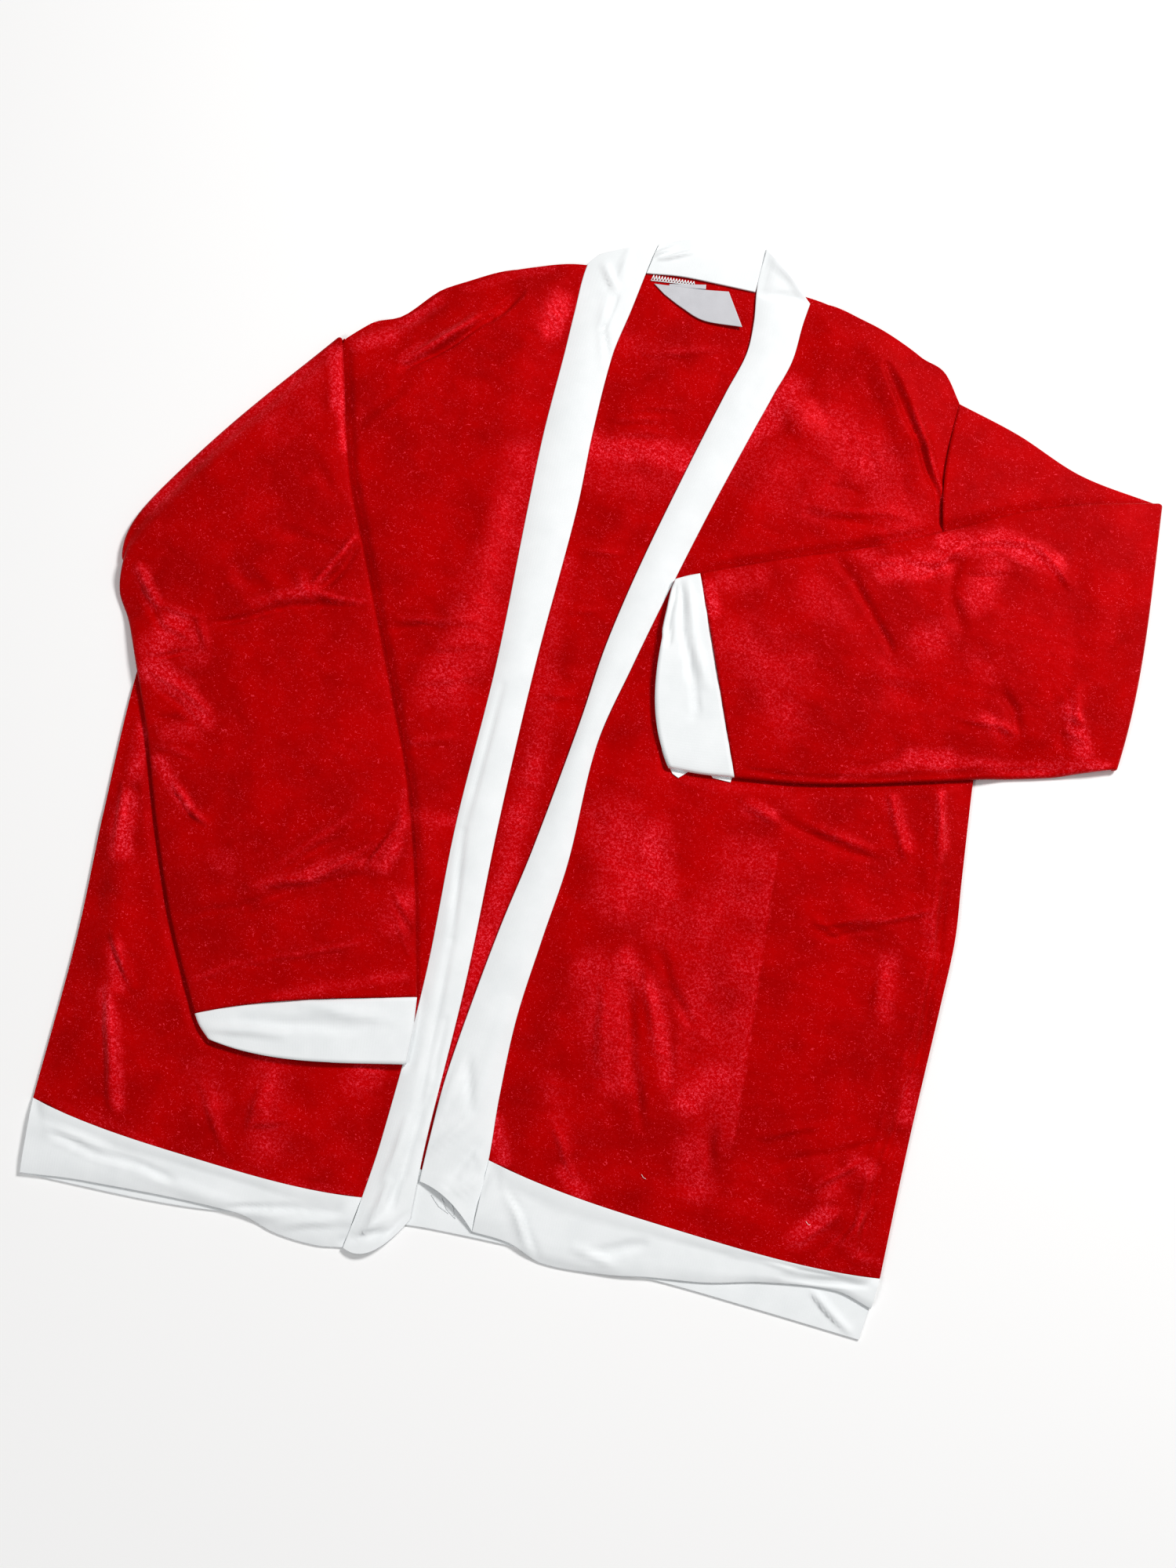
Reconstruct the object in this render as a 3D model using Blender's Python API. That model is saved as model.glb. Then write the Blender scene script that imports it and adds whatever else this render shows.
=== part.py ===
"""Adult santa suit jacket, laid flat on its back with the front open and both sleeves folded in.

Red felt back, fronts and sleeves, with double knit bands round the cuffs, hem, opening and neck.
X runs to the wearer's left, Y from hem to neck and Z up, and the jacket lies on Z = 0.
The sizes and tables below are in millimetres, and the meshes are in metres.
"""

import math
from collections import namedtuple

import bmesh
import bpy
from mathutils import Vector

MM = 0.001

# Cloth and seams
FELT = 1.3
KNIT = 1.7
LABEL = 1.0
SEAM = 0.3

# Layers: back on the floor, fronts on the hem band, folded sleeves on the front bands
BACK_Z = 0.0
FRONT_Z = BACK_Z + KNIT + SEAM
OVER_Z = FRONT_Z + KNIT + SEAM
AIR = FRONT_Z - BACK_Z - FELT
LABEL_Z = BACK_Z + FELT + SEAM
UP = Vector((0.0, 0.0, 1.0))

# Loft of the laid cloth
FRONT_LOFT = 1.8
SLEEVE_LOFT = 2.6
UPPER_ARM_LOFT = 1.5
CUFF_LOFT = 2.2
BAND_ROLL = 1.2
LOFT_POWER = 0.6
COVER_MARGIN = (12.0, 40.0)
DROOP_MARGIN = (3.0, 28.0)
EDGE_TAPER = 30.0
OPENING_TAPER = (4.0, 16.0)
FOLD_END_FADE = 0.4
SHARP_ANGLE = math.radians(50)

# Folded edge of a flattened tube: where full thickness starts, outside and inside
TIP_INSET = 1.2
INNER_TIP = 0.2
INNER_INSET = 1.1

# Grid cells of each piece
BACK_CELLS = (24, 24)
FRONT_CELLS = (16, 28)
HEM_CELLS = 3
BAND_CELLS = 4
COLLAR_CELLS = (10, 4)
LABEL_CELLS = (6, 4)
SLEEVE_SPANS = 10
CUFF_SPANS = 11

Side = namedtuple("Side", "y x")
Band = namedtuple("Band", "outer_y outer_x inner_y inner_x")
Row = namedtuple("Row", "side_y seam_y arch")
Edge = namedtuple("Edge", "x y")
Section = namedtuple("Section", "ax ay bx by bow")
Strip = namedtuple("Strip", "upper_x upper_y lower_x lower_y lift")
Fold = namedtuple("Fold", "x0 y0 x1 y1 width height")
Dent = namedtuple("Dent", "x y reach rise")

# Side seams below the armpits and armholes above them
RIGHT_SIDE = [
    Side(-328, -353),
    Side(-206, -353),
    Side(-114, -358),
    Side(-20, -362),
    Side(40, -361),
    Side(100, -352),
    Side(165, -330),
    Side(240, -298),
    Side(309, -270),
]
LEFT_SIDE = [
    Side(-315, 295),
    Side(-211, 296),
    Side(-105, 299),
    Side(-56, 300),
    Side(-10, 296),
    Side(60, 290),
    Side(128, 285),
    Side(190, 255),
    Side(260, 227),
    Side(310, 219),
    Side(366, 219),
]
RIGHT_ARMPIT_Y = 100
LEFT_ARMPIT_Y = 128

# Front bands, from hem to neck: the outer edge is the seam, the inner edge is the opening
RIGHT_BAND = [
    Band(-383, -99, -352, -55),
    Band(-344, -94, -330, -56),
    Band(-297, -90, -290, -57),
    Band(-176, -87, -169, -56),
    Band(-54, -92, -46, -60),
    Band(74, -91, 81, -61),
    Band(202, -96, 211, -58),
    Band(268, -98, 277, -60),
    Band(336, -97, 344, -59),
    Band(370, -97, 383, -53),
    Band(413, -96, 426, -47),
    Band(424, -89, 444, -44),
]
LEFT_BAND = [
    Band(-350, -8, -323, -55),
    Band(-296, -8, -289, -55),
    Band(-249, -11, -245, -54),
    Band(-189, -12, -185, -48),
    Band(-127, -7, -122, -40),
    Band(-64, -1, -60, -30),
    Band(31, 0, 45, -17),
    Band(98, 13, 110, -11),
    Band(148, 24, 175, 0),
    Band(235, 45, 262, 19),
    Band(306, 64, 333, 36),
    Band(341, 74, 368, 45),
    Band(370, 82, 396, 45),
    Band(403, 84, 430, 41),
    Band(421, 86, 459, 42),
]

# Rows across each panel, from the shoulder down to the hem seam
RIGHT_FRONT_ROWS = [
    Row(309, 413, 15),
    Row(240, 330, 5),
    Row(165, 220, 0),
    Row(100, 120, 0),
    Row(20, 20, 0),
    Row(-80, -90, 0),
    Row(-170, -180, 0),
    Row(-250, -265, -3),
    Row(-328, -344, -8),
]
LEFT_FRONT_ROWS = [
    Row(366, 421, 17),
    Row(300, 340, 5),
    Row(210, 235, 0),
    Row(128, 140, 0),
    Row(50, 50, 0),
    Row(-40, -40, 0),
    Row(-130, -125, 0),
    Row(-220, -210, -3),
    Row(-315, -296, -9),
]
BACK_ROWS = [
    Row(309, 366, 84),
    Row(240, 290, 45),
    Row(160, 200, 15),
    Row(80, 110, 0),
    Row(0, 20, 0),
    Row(-110, -90, 0),
    Row(-220, -210, 0),
    Row(-328, -315, 8),
]

# Where the shoulder edge dips or swells off its arch
SHOULDER_DENTS = [
    Dent(-228, 346, 34, -10),
    Dent(-160, 394, 34, 2),
    Dent(202, 382, 26, 6),
    Dent(125, 417, 34, -2),
]

# Lower edges of the hem bands
RIGHT_HEM_EDGE = [
    Edge(-348, -384),
    Edge(-300, -379),
    Edge(-183, -376),
    Edge(-151, -384),
    Edge(-120, -386),
    Edge(-99, -383),
]
LEFT_HEM_EDGE = [
    Edge(-8, -350),
    Edge(21, -352),
    Edge(48, -361),
    Edge(98, -358),
    Edge(126, -353),
    Edge(170, -347),
    Edge(212, -337),
    Edge(265, -331),
    Edge(293, -338),
]
BACK_HEM_EDGE = [
    Edge(-348, -384),
    Edge(-216, -380),
    Edge(-100, -362),
    Edge(-38, -355),
    Edge(130, -354),
    Edge(202, -357),
    Edge(289, -362),
]

# Flat sections of the sleeves: end a is the crown side and end b the underarm side
RIGHT_UNDER = [
    Section(-271.4, 309, -353.4, 100, 0),
    Section(-272.5, 307, -394, 90, 14),
]
RIGHT_OVER = [
    Section(-272.5, 307, -394, 90, 14),
    Section(-264, 280, -391, 66, 10),
    Section(-240, 201, -378, 43, 4),
    Section(-208, 130, -361, 6, 0),
    Section(-163, 31, -340, -42, 0),
    Section(-135, -33, -316, -105, 0),
    Section(-110, -110, -287, -172, 1),
    Section(-89, -190, -250, -240, 4),
]
LEFT_UNDER = [
    Section(220.6, 366, 286.6, 128, 0),
    Section(270, 351, 320, 119, 0),
    Section(325, 329, 358, 108, 0),
    Section(388, 319, 392, 101, -5),
]
LEFT_OVER = [
    Section(388, 319, 392, 101, -5),
    Section(358, 312, 367, 92, -2),
    Section(325, 303, 345, 84, 0),
    Section(281, 286, 300, 72, 0),
    Section(225, 257, 250, 58, 0),
    Section(167, 230, 205, 46, 0),
    Section(109, 208, 160, 36, 0),
    Section(48, 182, 109, 29, 0),
]
RIGHT_CUFF = [
    Section(-89, -190, -250, -240, 4),
    Section(-86, -216, -244, -248, -2),
    Section(-85, -241, -235, -256, -7),
]
LEFT_CUFF = [
    Section(48, 182, 109, 29, 0),
    Section(39, 178, 84, 26, 6),
    Section(30, 173, 58, 25, 12),
]
RIGHT_STATIONS = (3, 22)
LEFT_STATIONS = (7, 20)
CUFF_STATIONS = 4
FOLD_ANGLES = (45, 90, 135)
FOLD_REACH = 0.12

# Neck part of the band and the label under it
COLLAR = [
    Strip(-43.6, 444, -46.6, 422, 0.0),
    Strip(-14, 456, -20, 422, 1.0),
    Strip(12, 459, 10, 421, 0.6),
    Strip(41, 460, 40.5, 421, 0.0),
]
CARE_LABEL = [
    Strip(-40, 410, -30, 403, 0.0),
    Strip(-20, 412, -14, 395, 0.4),
    Strip(0, 414, 6, 388, 0.9),
    Strip(20, 417, 37, 389, 2.4),
]

# Largest folds: ridges rise and troughs sink
BACK_FOLDS = [
    Fold(-40, 300, 30, 345, 26, 1.6),
    Fold(-40, 150, -12, 260, 18, 1.4),
    Fold(-44, 20, -34, 110, 12, 1.2),
]
FRONT_FOLDS = [
    Fold(-228, 291, -118, 372, 22, 2.8),
    Fold(-240, 330, -150, 372, 14, -1.2),
    Fold(-130, 60, -118, 190, 16, 1.6),
    Fold(-348, -113, -311, -215, 18, 2.8),
    Fold(-330, -180, -300, -300, 18, 2.0),
    Fold(-210, -285, -120, -320, 18, 2.2),
    Fold(139, 404, 189, 328, 20, 3.0),
    Fold(189, 328, 214, 270, 18, 2.4),
    Fold(152, -9, 163, -130, 15, 2.4),
    Fold(163, -130, 172, -261, 15, 2.2),
    Fold(264, 54, 286, -60, 18, 3.0),
    Fold(290, -80, 280, -200, 18, 2.8),
    Fold(279, -210, 277, -307, 18, 2.4),
    Fold(204, -229, 279, -301, 18, 2.4),
    Fold(196, -49, 260, -65, 18, 2.0),
    Fold(30, -60, 60, -200, 24, 2.4),
    Fold(80, -290, 230, -296, 14, 1.4),
]
SLEEVE_FOLDS = [
    Fold(-272, 290, -252, 219, 12, 1.2),
    Fold(-311, 57, -240, 85, 16, -2.2),
    Fold(-240, 85, -199, 98, 12, -1.8),
    Fold(-330, 100, -236, 128, 22, 1.6),
    Fold(-360, 17, -326, 30, 14, 1.6),
    Fold(-261, -216, -102, -150, 20, 1.4),
    Fold(-300, -90, -190, -20, 26, 1.0),
    Fold(240, 330, 340, 318, 14, 1.2),
    Fold(139, 216, 202, 153, 18, -2.0),
    Fold(350, 290, 372, 130, 22, 1.6),
    Fold(240, 90, 330, 120, 22, 1.4),
    Fold(110, 110, 190, 90, 20, 1.2),
]
BAND_FOLDS = [
    Fold(15, 111, -1, 31, 8, 1.4),
    Fold(-85, -58, -74, -142, 6, -0.9),
    Fold(-74, -142, -66, -321, 6, -1.0),
    Fold(-74, 390, -62, 333, 9, 1.6),
    Fold(-342, -348, -278, -361, 8, 1.2),
    Fold(-278, -361, -183, -372, 8, 1.0),
    Fold(14, -321, 36, -350, 9, 1.4),
    Fold(-30, -300, -20, -180, 9, 1.0),
    Fold(60, 330, 78, 372, 8, 1.2),
]


class Curve:
    """Smooth curve through pairs of key and value."""

    def __init__(self, keys, values):
        pairs = sorted(zip(keys, values))
        self.keys = [pair[0] for pair in pairs]
        self.values = [pair[1] for pair in pairs]

    def slope(self, index):
        low = max(index - 1, 0)
        high = min(index + 1, len(self.keys) - 1)
        return (self.values[high] - self.values[low]) / (self.keys[high] - self.keys[low])

    def __call__(self, at):
        index = sum(key <= at for key in self.keys[1:-1])
        span = self.keys[index + 1] - self.keys[index]
        share = min(max((at - self.keys[index]) / span, 0.0), 1.0)
        square, cube = share**2, share**3
        start, end = self.values[index], self.values[index + 1]
        rise = (cube - 2 * square + share) * self.slope(index)
        fall = (cube - square) * self.slope(index + 1)
        return start + (3 * square - 2 * cube) * (end - start) + (rise + fall) * span


def keyed(rows, key, value):
    """Curve of one column over another column."""
    return Curve([getattr(row, key) for row in rows], [getattr(row, value) for row in rows])


def spread(rows, value):
    """Curve of one column over the rows, from 0 at the first to 1 at the last."""
    last = len(rows) - 1
    return Curve([index / last for index in range(last + 1)], [getattr(row, value) for row in rows])


def mix(start, end, share):
    return start + (end - start) * share


def step(low, high, at):
    """Smooth rise from 0 at low to 1 at high."""
    share = min(max((at - low) / (high - low), 0.0), 1.0)
    return share * share * (3 - 2 * share)


def from_segment(start, end, x, y):
    """Distance to a segment, and how far along it the nearest point is."""
    run = (end[0] - start[0], end[1] - start[1])
    along = ((x - start[0]) * run[0] + (y - start[1]) * run[1]) / (run[0] ** 2 + run[1] ** 2)
    share = min(max(along, 0.0), 1.0)
    return math.hypot(x - start[0] - run[0] * share, y - start[1] - run[1] * share), share


def clearance(outline, x, y):
    """Distance from an outline, negative inside it."""
    nearest = math.inf
    inside = False
    for start, end in zip(outline, outline[1:] + outline[:1]):
        nearest = min(nearest, from_segment(start, end, x, y)[0])
        crosses = (start[1] > y) != (end[1] > y)
        if crosses and x < mix(start[0], end[0], (y - start[1]) / (end[1] - start[1])):
            inside = not inside
    return -nearest if inside else nearest


def relief(folds, x, y):
    """Height of the folds that pass a point."""
    height = 0.0
    for fold in folds:
        off, share = from_segment((fold.x0, fold.y0), (fold.x1, fold.y1), x, y)
        if off < fold.width:
            fade = mix(FOLD_END_FADE, 1.0, math.sin(math.pi * share))
            height += fold.height * fade * (1 - (off / fold.width) ** 2) ** 2
    return height


RIGHT_EDGE = keyed(RIGHT_SIDE, "y", "x")
LEFT_EDGE = keyed(LEFT_SIDE, "y", "x")
RIGHT_SEAM = keyed(RIGHT_BAND, "outer_y", "outer_x")
LEFT_SEAM = keyed(LEFT_BAND, "outer_y", "outer_x")


def section_outline(rows):
    """Outline in plan of a run of flat sections."""
    return [(row.ax, row.ay) for row in rows] + [(row.bx, row.by) for row in reversed(rows)]


def section_line(rows, share, t):
    """Plan point on a flat section: t runs from the crown side to the underarm side.

    The bow off the straight line leans toward the underarm side.
    """
    ax, ay, bx, by, bow = (spread(rows, field)(share) for field in Section._fields)
    arc = bow * 4 * t * (1 - t) * (0.5 + t) / math.hypot(bx - ax, by - ay)
    return mix(ax, bx, t) + (by - ay) * arc, mix(ay, by, t) - (bx - ax) * arc


def lower_stretch(side_rows, armpit_y, over):
    """Outline in plan of a sleeve from its armhole to its fold line."""
    armhole = [(row.x, row.y) for row in side_rows if row.y >= armpit_y]
    return armhole + [section_line(over, 0.0, index / 6) for index in range(7)]


COVERS = [section_outline(RIGHT_OVER + RIGHT_CUFF[1:]), section_outline(LEFT_OVER + LEFT_CUFF[1:])]
SUPPORTS = [
    [(row.x, row.y) for row in RIGHT_SIDE + LEFT_SIDE[::-1]],
    lower_stretch(RIGHT_SIDE, RIGHT_ARMPIT_Y, RIGHT_OVER),
    lower_stretch(LEFT_SIDE, LEFT_ARMPIT_Y, LEFT_OVER),
]
OPENING = [(row.inner_x, row.inner_y) for row in RIGHT_BAND[2:-1] + LEFT_BAND[:1:-1]]


def uncovered(x, y):
    """0 under a folded sleeve, rising to 1 clear of it."""
    return step(*COVER_MARGIN, min(clearance(outline, x, y) for outline in COVERS))


def droop(x, y):
    """How far a sleeve sinks to the floor past what carries it."""
    off = min(clearance(outline, x, y) for outline in SUPPORTS)
    return (OVER_Z - BACK_Z) * step(*DROOP_MARGIN, off)


def cloth_material(name, colour, roughness):
    """Cloth finish with its own colour."""
    material = bpy.data.materials.new(name)
    material.use_nodes = True
    shader = material.node_tree.nodes["Principled BSDF"]
    shader.inputs["Base Color"].default_value = (*colour, 1.0)
    shader.inputs["Roughness"].default_value = roughness
    shader.inputs["Metallic"].default_value = 0.0
    return material


def add_object(name, mesh_data, material, holder):
    """Object from a closed bmesh in millimetres."""
    bmesh.ops.recalc_face_normals(mesh_data, faces=mesh_data.faces[:])
    bmesh.ops.scale(mesh_data, vec=(MM, MM, MM), verts=mesh_data.verts[:])
    mesh = bpy.data.meshes.new(name)
    mesh_data.to_mesh(mesh)
    mesh_data.free()
    mesh.materials.append(material)
    mesh.shade_smooth()
    mesh.set_sharp_from_angle(angle=SHARP_ANGLE)
    piece = bpy.data.objects.new(name, mesh)
    piece.parent = holder
    bpy.context.scene.collection.objects.link(piece)
    return piece


def add_sheet(name, place, cells, wall, material, holder):
    """Cloth wall: a grid laid by place(u, v) as its underside, then thickened upwards."""
    sheet = bmesh.new()
    bmesh.ops.create_grid(sheet, x_segments=cells[0], y_segments=cells[1], size=0.5)
    for vert in sheet.verts:
        vert.co = place(vert.co.x + 0.5, vert.co.y + 0.5)
    raised = bmesh.ops.extrude_face_region(sheet, geom=sheet.faces[:])
    top = [item for item in raised["geom"] if isinstance(item, bmesh.types.BMVert)]
    bmesh.ops.translate(sheet, vec=UP * wall, verts=top)
    return add_object(name, sheet, material, holder)


def next_ring(tube, ring, points):
    """Extrudes a ring of vertices to the given points."""
    sides = list(zip(ring, ring[1:] + ring[:1]))
    edges = [tube.edges.get(pair) for pair in sides]
    made = bmesh.ops.extrude_edge_only(tube, edges=edges)
    fresh = {item for item in made["geom"] if isinstance(item, bmesh.types.BMVert)}
    partner = {}
    for vert in fresh:
        for edge in vert.link_edges:
            if edge.other_vert(vert) not in fresh:
                partner[edge.other_vert(vert)] = vert
    moved = [partner[vert] for vert in ring]
    for vert, point in zip(moved, points):
        vert.co = point
    return moved


def add_tube(name, outer, inner, material, holder):
    """Hollow tube open at both ends, from its outer and inner rings."""
    tube = bmesh.new()
    ring = bmesh.ops.create_circle(tube, segments=len(outer[0]), radius=1.0)["verts"]
    for vert, point in zip(ring, outer[0]):
        vert.co = point
    for points in outer[1:] + inner[::-1] + outer[:1]:
        ring = next_ring(tube, ring, points)
    bmesh.ops.remove_doubles(tube, verts=tube.verts[:], dist=SEAM / 100)
    return add_object(name, tube, material, holder)


# Panels


def panel_point(rows, sides, u, v):
    """Plan point of a panel: u runs across between its two side curves, v down its rows."""
    side_y = spread(rows, "side_y")(v)
    seam_y = spread(rows, "seam_y")(v)
    arch = spread(rows, "arch")(v) * (1 - abs(2 * u - 1) ** 3)
    x = mix(sides[0](side_y), sides[1](seam_y), u)
    y = mix(side_y, seam_y, u) + arch
    for dent in SHOULDER_DENTS:
        y += dent.rise * (1 - step(0.0, dent.reach, math.hypot(x - dent.x, y - dent.y)))
    return x, y


def front_lift(x, y, from_edge):
    """Rise of a front off the back, with its folds."""
    loft = FRONT_LOFT * step(0.0, EDGE_TAPER, from_edge)
    return max(uncovered(x, y) * (loft + relief(FRONT_FOLDS, x, y)), 0.0)


def add_front(name, rows, sides, material, holder):
    def place(u, v):
        x, y = panel_point(rows, sides, u, v)
        width = abs(sides[1](y) - sides[0](y))
        from_edge = min(u * width, (1 - u) * width, v * abs(rows[0].seam_y - rows[-1].seam_y))
        return x, y, FRONT_Z + front_lift(x, y, from_edge)

    return add_sheet(name, place, FRONT_CELLS, FELT, material, holder)


def add_back(material, holder):
    def place(u, v):
        x, y = panel_point(BACK_ROWS, (RIGHT_EDGE, LEFT_EDGE), u, v)
        inset = step(*OPENING_TAPER, -clearance(OPENING, x, y))
        return x, y, BACK_Z + inset * max(relief(BACK_FOLDS, x, y), 0.0)

    return add_sheet("back_panel", place, BACK_CELLS, FELT, material, holder)


# Hem bands


def hem_point(rows, sides, lower, u, v):
    """Plan point of a hem band, sewn along the bottom row of its panel."""
    top_x, top_y = panel_point(rows, sides, u, 1.0)
    low_x = mix(lower[0].x, lower[-1].x, u)
    low_y = keyed(lower, "x", "y")(low_x)
    return mix(top_x, low_x, v), mix(top_y - SEAM, low_y, v)


def add_hem(name, rows, sides, lower, base, folds, cells, material, holder):
    def place(u, v):
        x, y = hem_point(rows, sides, lower, u, v)
        return x, y, base + max(relief(folds, x, y), 0.0)

    return add_sheet(name, place, (cells, HEM_CELLS), KNIT, material, holder)


# Front bands


def band_stations(front_rows, lowest, highest):
    """Heights of the seam where the band has a row: those of the front and of the hem band."""
    seam_y = spread(front_rows, "seam_y")
    count = FRONT_CELLS[1]
    front = [seam_y(index / count) for index in range(count + 1)]
    hem = [mix(front[-1] - SEAM, lowest, index / HEM_CELLS) for index in range(HEM_CELLS + 1)]
    return highest + front + hem


def add_band(name, band, front_rows, highest, toward, material, holder):
    """Band along a front's seam; toward is the side of the seam that it lies on."""
    stations = band_stations(front_rows, band[0].outer_y, highest)
    seam = keyed(band, "outer_y", "outer_x")
    inner_x = keyed(band, "outer_y", "inner_x")
    inner_y = keyed(band, "outer_y", "inner_y")
    last = len(stations) - 1

    def place(u, v):
        outer_y = stations[round(v * last)]
        x = mix(seam(outer_y) + toward * SEAM, inner_x(outer_y), u)
        y = mix(outer_y, inner_y(outer_y), u)
        roll = BAND_ROLL * 4 * u * (1 - u)
        return x, y, FRONT_Z + uncovered(x, y) * max(roll + relief(BAND_FOLDS, x, y), 0.0)

    return add_sheet(name, place, (BAND_CELLS, last), KNIT, material, holder)


def add_strip(name, strip, base, drop, cells, wall, material, holder):
    """Short strip such as the neck band or the label, whose upper edge may drop to the floor."""
    columns = {field: spread(strip, field) for field in Strip._fields}

    def place(u, v):
        x = mix(columns["upper_x"](u), columns["lower_x"](u), v)
        y = mix(columns["upper_y"](u), columns["lower_y"](u), v)
        lift = columns["lift"](u) * math.sin(math.pi * mix(0.15, 0.85, v))
        return x, y, base + lift - drop * step(0.55, 0.0, v) if drop else base + lift * v

    return add_sheet(name, place, cells, wall, material, holder)


# Sleeves and cuffs


def armhole_bend(side, top_y, armpit_y, t):
    """How far the armhole curves off the straight line from shoulder point to armpit."""
    y = mix(top_y, armpit_y, t)
    return side(y) - mix(side(top_y), side(armpit_y), t)


def rings(line, up, centre_z, lofts, spans, wall):
    """Outer and inner ring of a flattened tube on a line of plan points.

    lofts gives the extra height on the up side and on the other side at a plan point.
    """
    width = math.dist(line(0.0), line(1.0))
    half = wall + AIR / 2
    inside = [index / spans for index in range(1, spans)]
    outer_t = [TIP_INSET / width] + inside + [1 - TIP_INSET / width]
    inner_tip = (wall + INNER_INSET) / width
    inner_t = [inner_tip] + inside + [1 - inner_tip]
    made = []
    for stops, tip, thickness in ((outer_t, 0.0, half), (inner_t, wall + INNER_TIP, AIR / 2)):
        def point(t, side):
            x, y = line(t)
            loft = lofts(x, y, t)[0 if side > 0 else 1] if side else 0.0
            height = side * (thickness + loft)
            return Vector((x, y, centre_z(x, y))) + up * height

        ring = [point(tip / width, 0)]
        ring += [point(t, 1) for t in stops]
        ring += [point(1 - tip / width, 0)]
        ring += [point(t, -1) for t in reversed(stops)]
        made.append(ring)
    return made


def add_sleeve(name, under, over, side, top_y, armpit_y, outward, stations, material, holder):
    """Sleeve laid out from the armhole, turned over at its fold line and laid back on the front."""
    half = FELT + AIR / 2
    low_mid = BACK_Z + half
    high_mid = OVER_Z + half
    radius = (high_mid - low_mid) / 2
    outward = Vector((*outward, 0.0)).normalized()
    made = []

    def under_line(share):
        def line(t):
            x, y = section_line(under, share, t)
            return x + armhole_bend(side, top_y, armpit_y, t) * (1 - share) ** 2, y

        return line

    def under_loft(x, y, t):
        edge = math.sin(math.pi * t)
        return uncovered(x, y) * edge * UPPER_ARM_LOFT, 0.0

    for index in range(stations[0] + 1):
        share = index / stations[0]
        made.append(rings(under_line(share), UP, lambda x, y: low_mid, under_loft, SLEEVE_SPANS, FELT))

    for angle in FOLD_ANGLES:
        turn = math.radians(angle)
        shift = outward * radius * math.sin(turn)
        height = low_mid + radius * (1 - math.cos(turn))
        up = UP * math.cos(turn) - outward * math.sin(turn)

        def line(t, shift=shift):
            x, y = section_line(over, 0.0, t)
            return x + shift.x, y + shift.y

        flat = rings(line, up, lambda x, y, height=height: height, lambda x, y, t: (0.0, 0.0),
                     SLEEVE_SPANS, FELT)
        made.append(flat)

    def over_loft(share):
        def loft(x, y, t):
            edge = math.sin(math.pi * t) ** LOFT_POWER
            from_fold = step(0.0, FOLD_REACH, share)
            return 0.0, from_fold * edge * max(SLEEVE_LOFT + relief(SLEEVE_FOLDS, x, y), 0.0)

        return loft

    for index in range(stations[1] + 1):
        share = index / stations[1]
        made.append(rings(lambda t, share=share: section_line(over, share, t), -UP,
                          lambda x, y: high_mid - droop(x, y), over_loft(share), SLEEVE_SPANS, FELT))
    return add_tube(name, [pair[0] for pair in made], [pair[1] for pair in made], material, holder)


def add_cuff(name, cuff, material, holder):
    """Double knit tube sewn to the end of a folded sleeve."""
    half = KNIT + AIR / 2
    made = []

    def line_at(share):
        def line(t):
            x, y = section_line(cuff, share, t)
            end_x, end_y = section_line(cuff, 1.0, t)
            start_x, start_y = section_line(cuff, 0.0, t)
            run = math.hypot(end_x - start_x, end_y - start_y)
            gap = SEAM * (1 - share) * 1.5 / run
            return x + (end_x - start_x) * gap, y + (end_y - start_y) * gap

        return line

    def loft(x, y, t):
        return CUFF_LOFT * math.sin(math.pi * t) ** LOFT_POWER, 0.0

    for index in range(CUFF_STATIONS + 1):
        line = line_at(index / CUFF_STATIONS)
        made.append(rings(line, UP, lambda x, y: OVER_Z + half - droop(x, y), loft, CUFF_SPANS, KNIT))
    return add_tube(name, [pair[0] for pair in made], [pair[1] for pair in made], material, holder)


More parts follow.
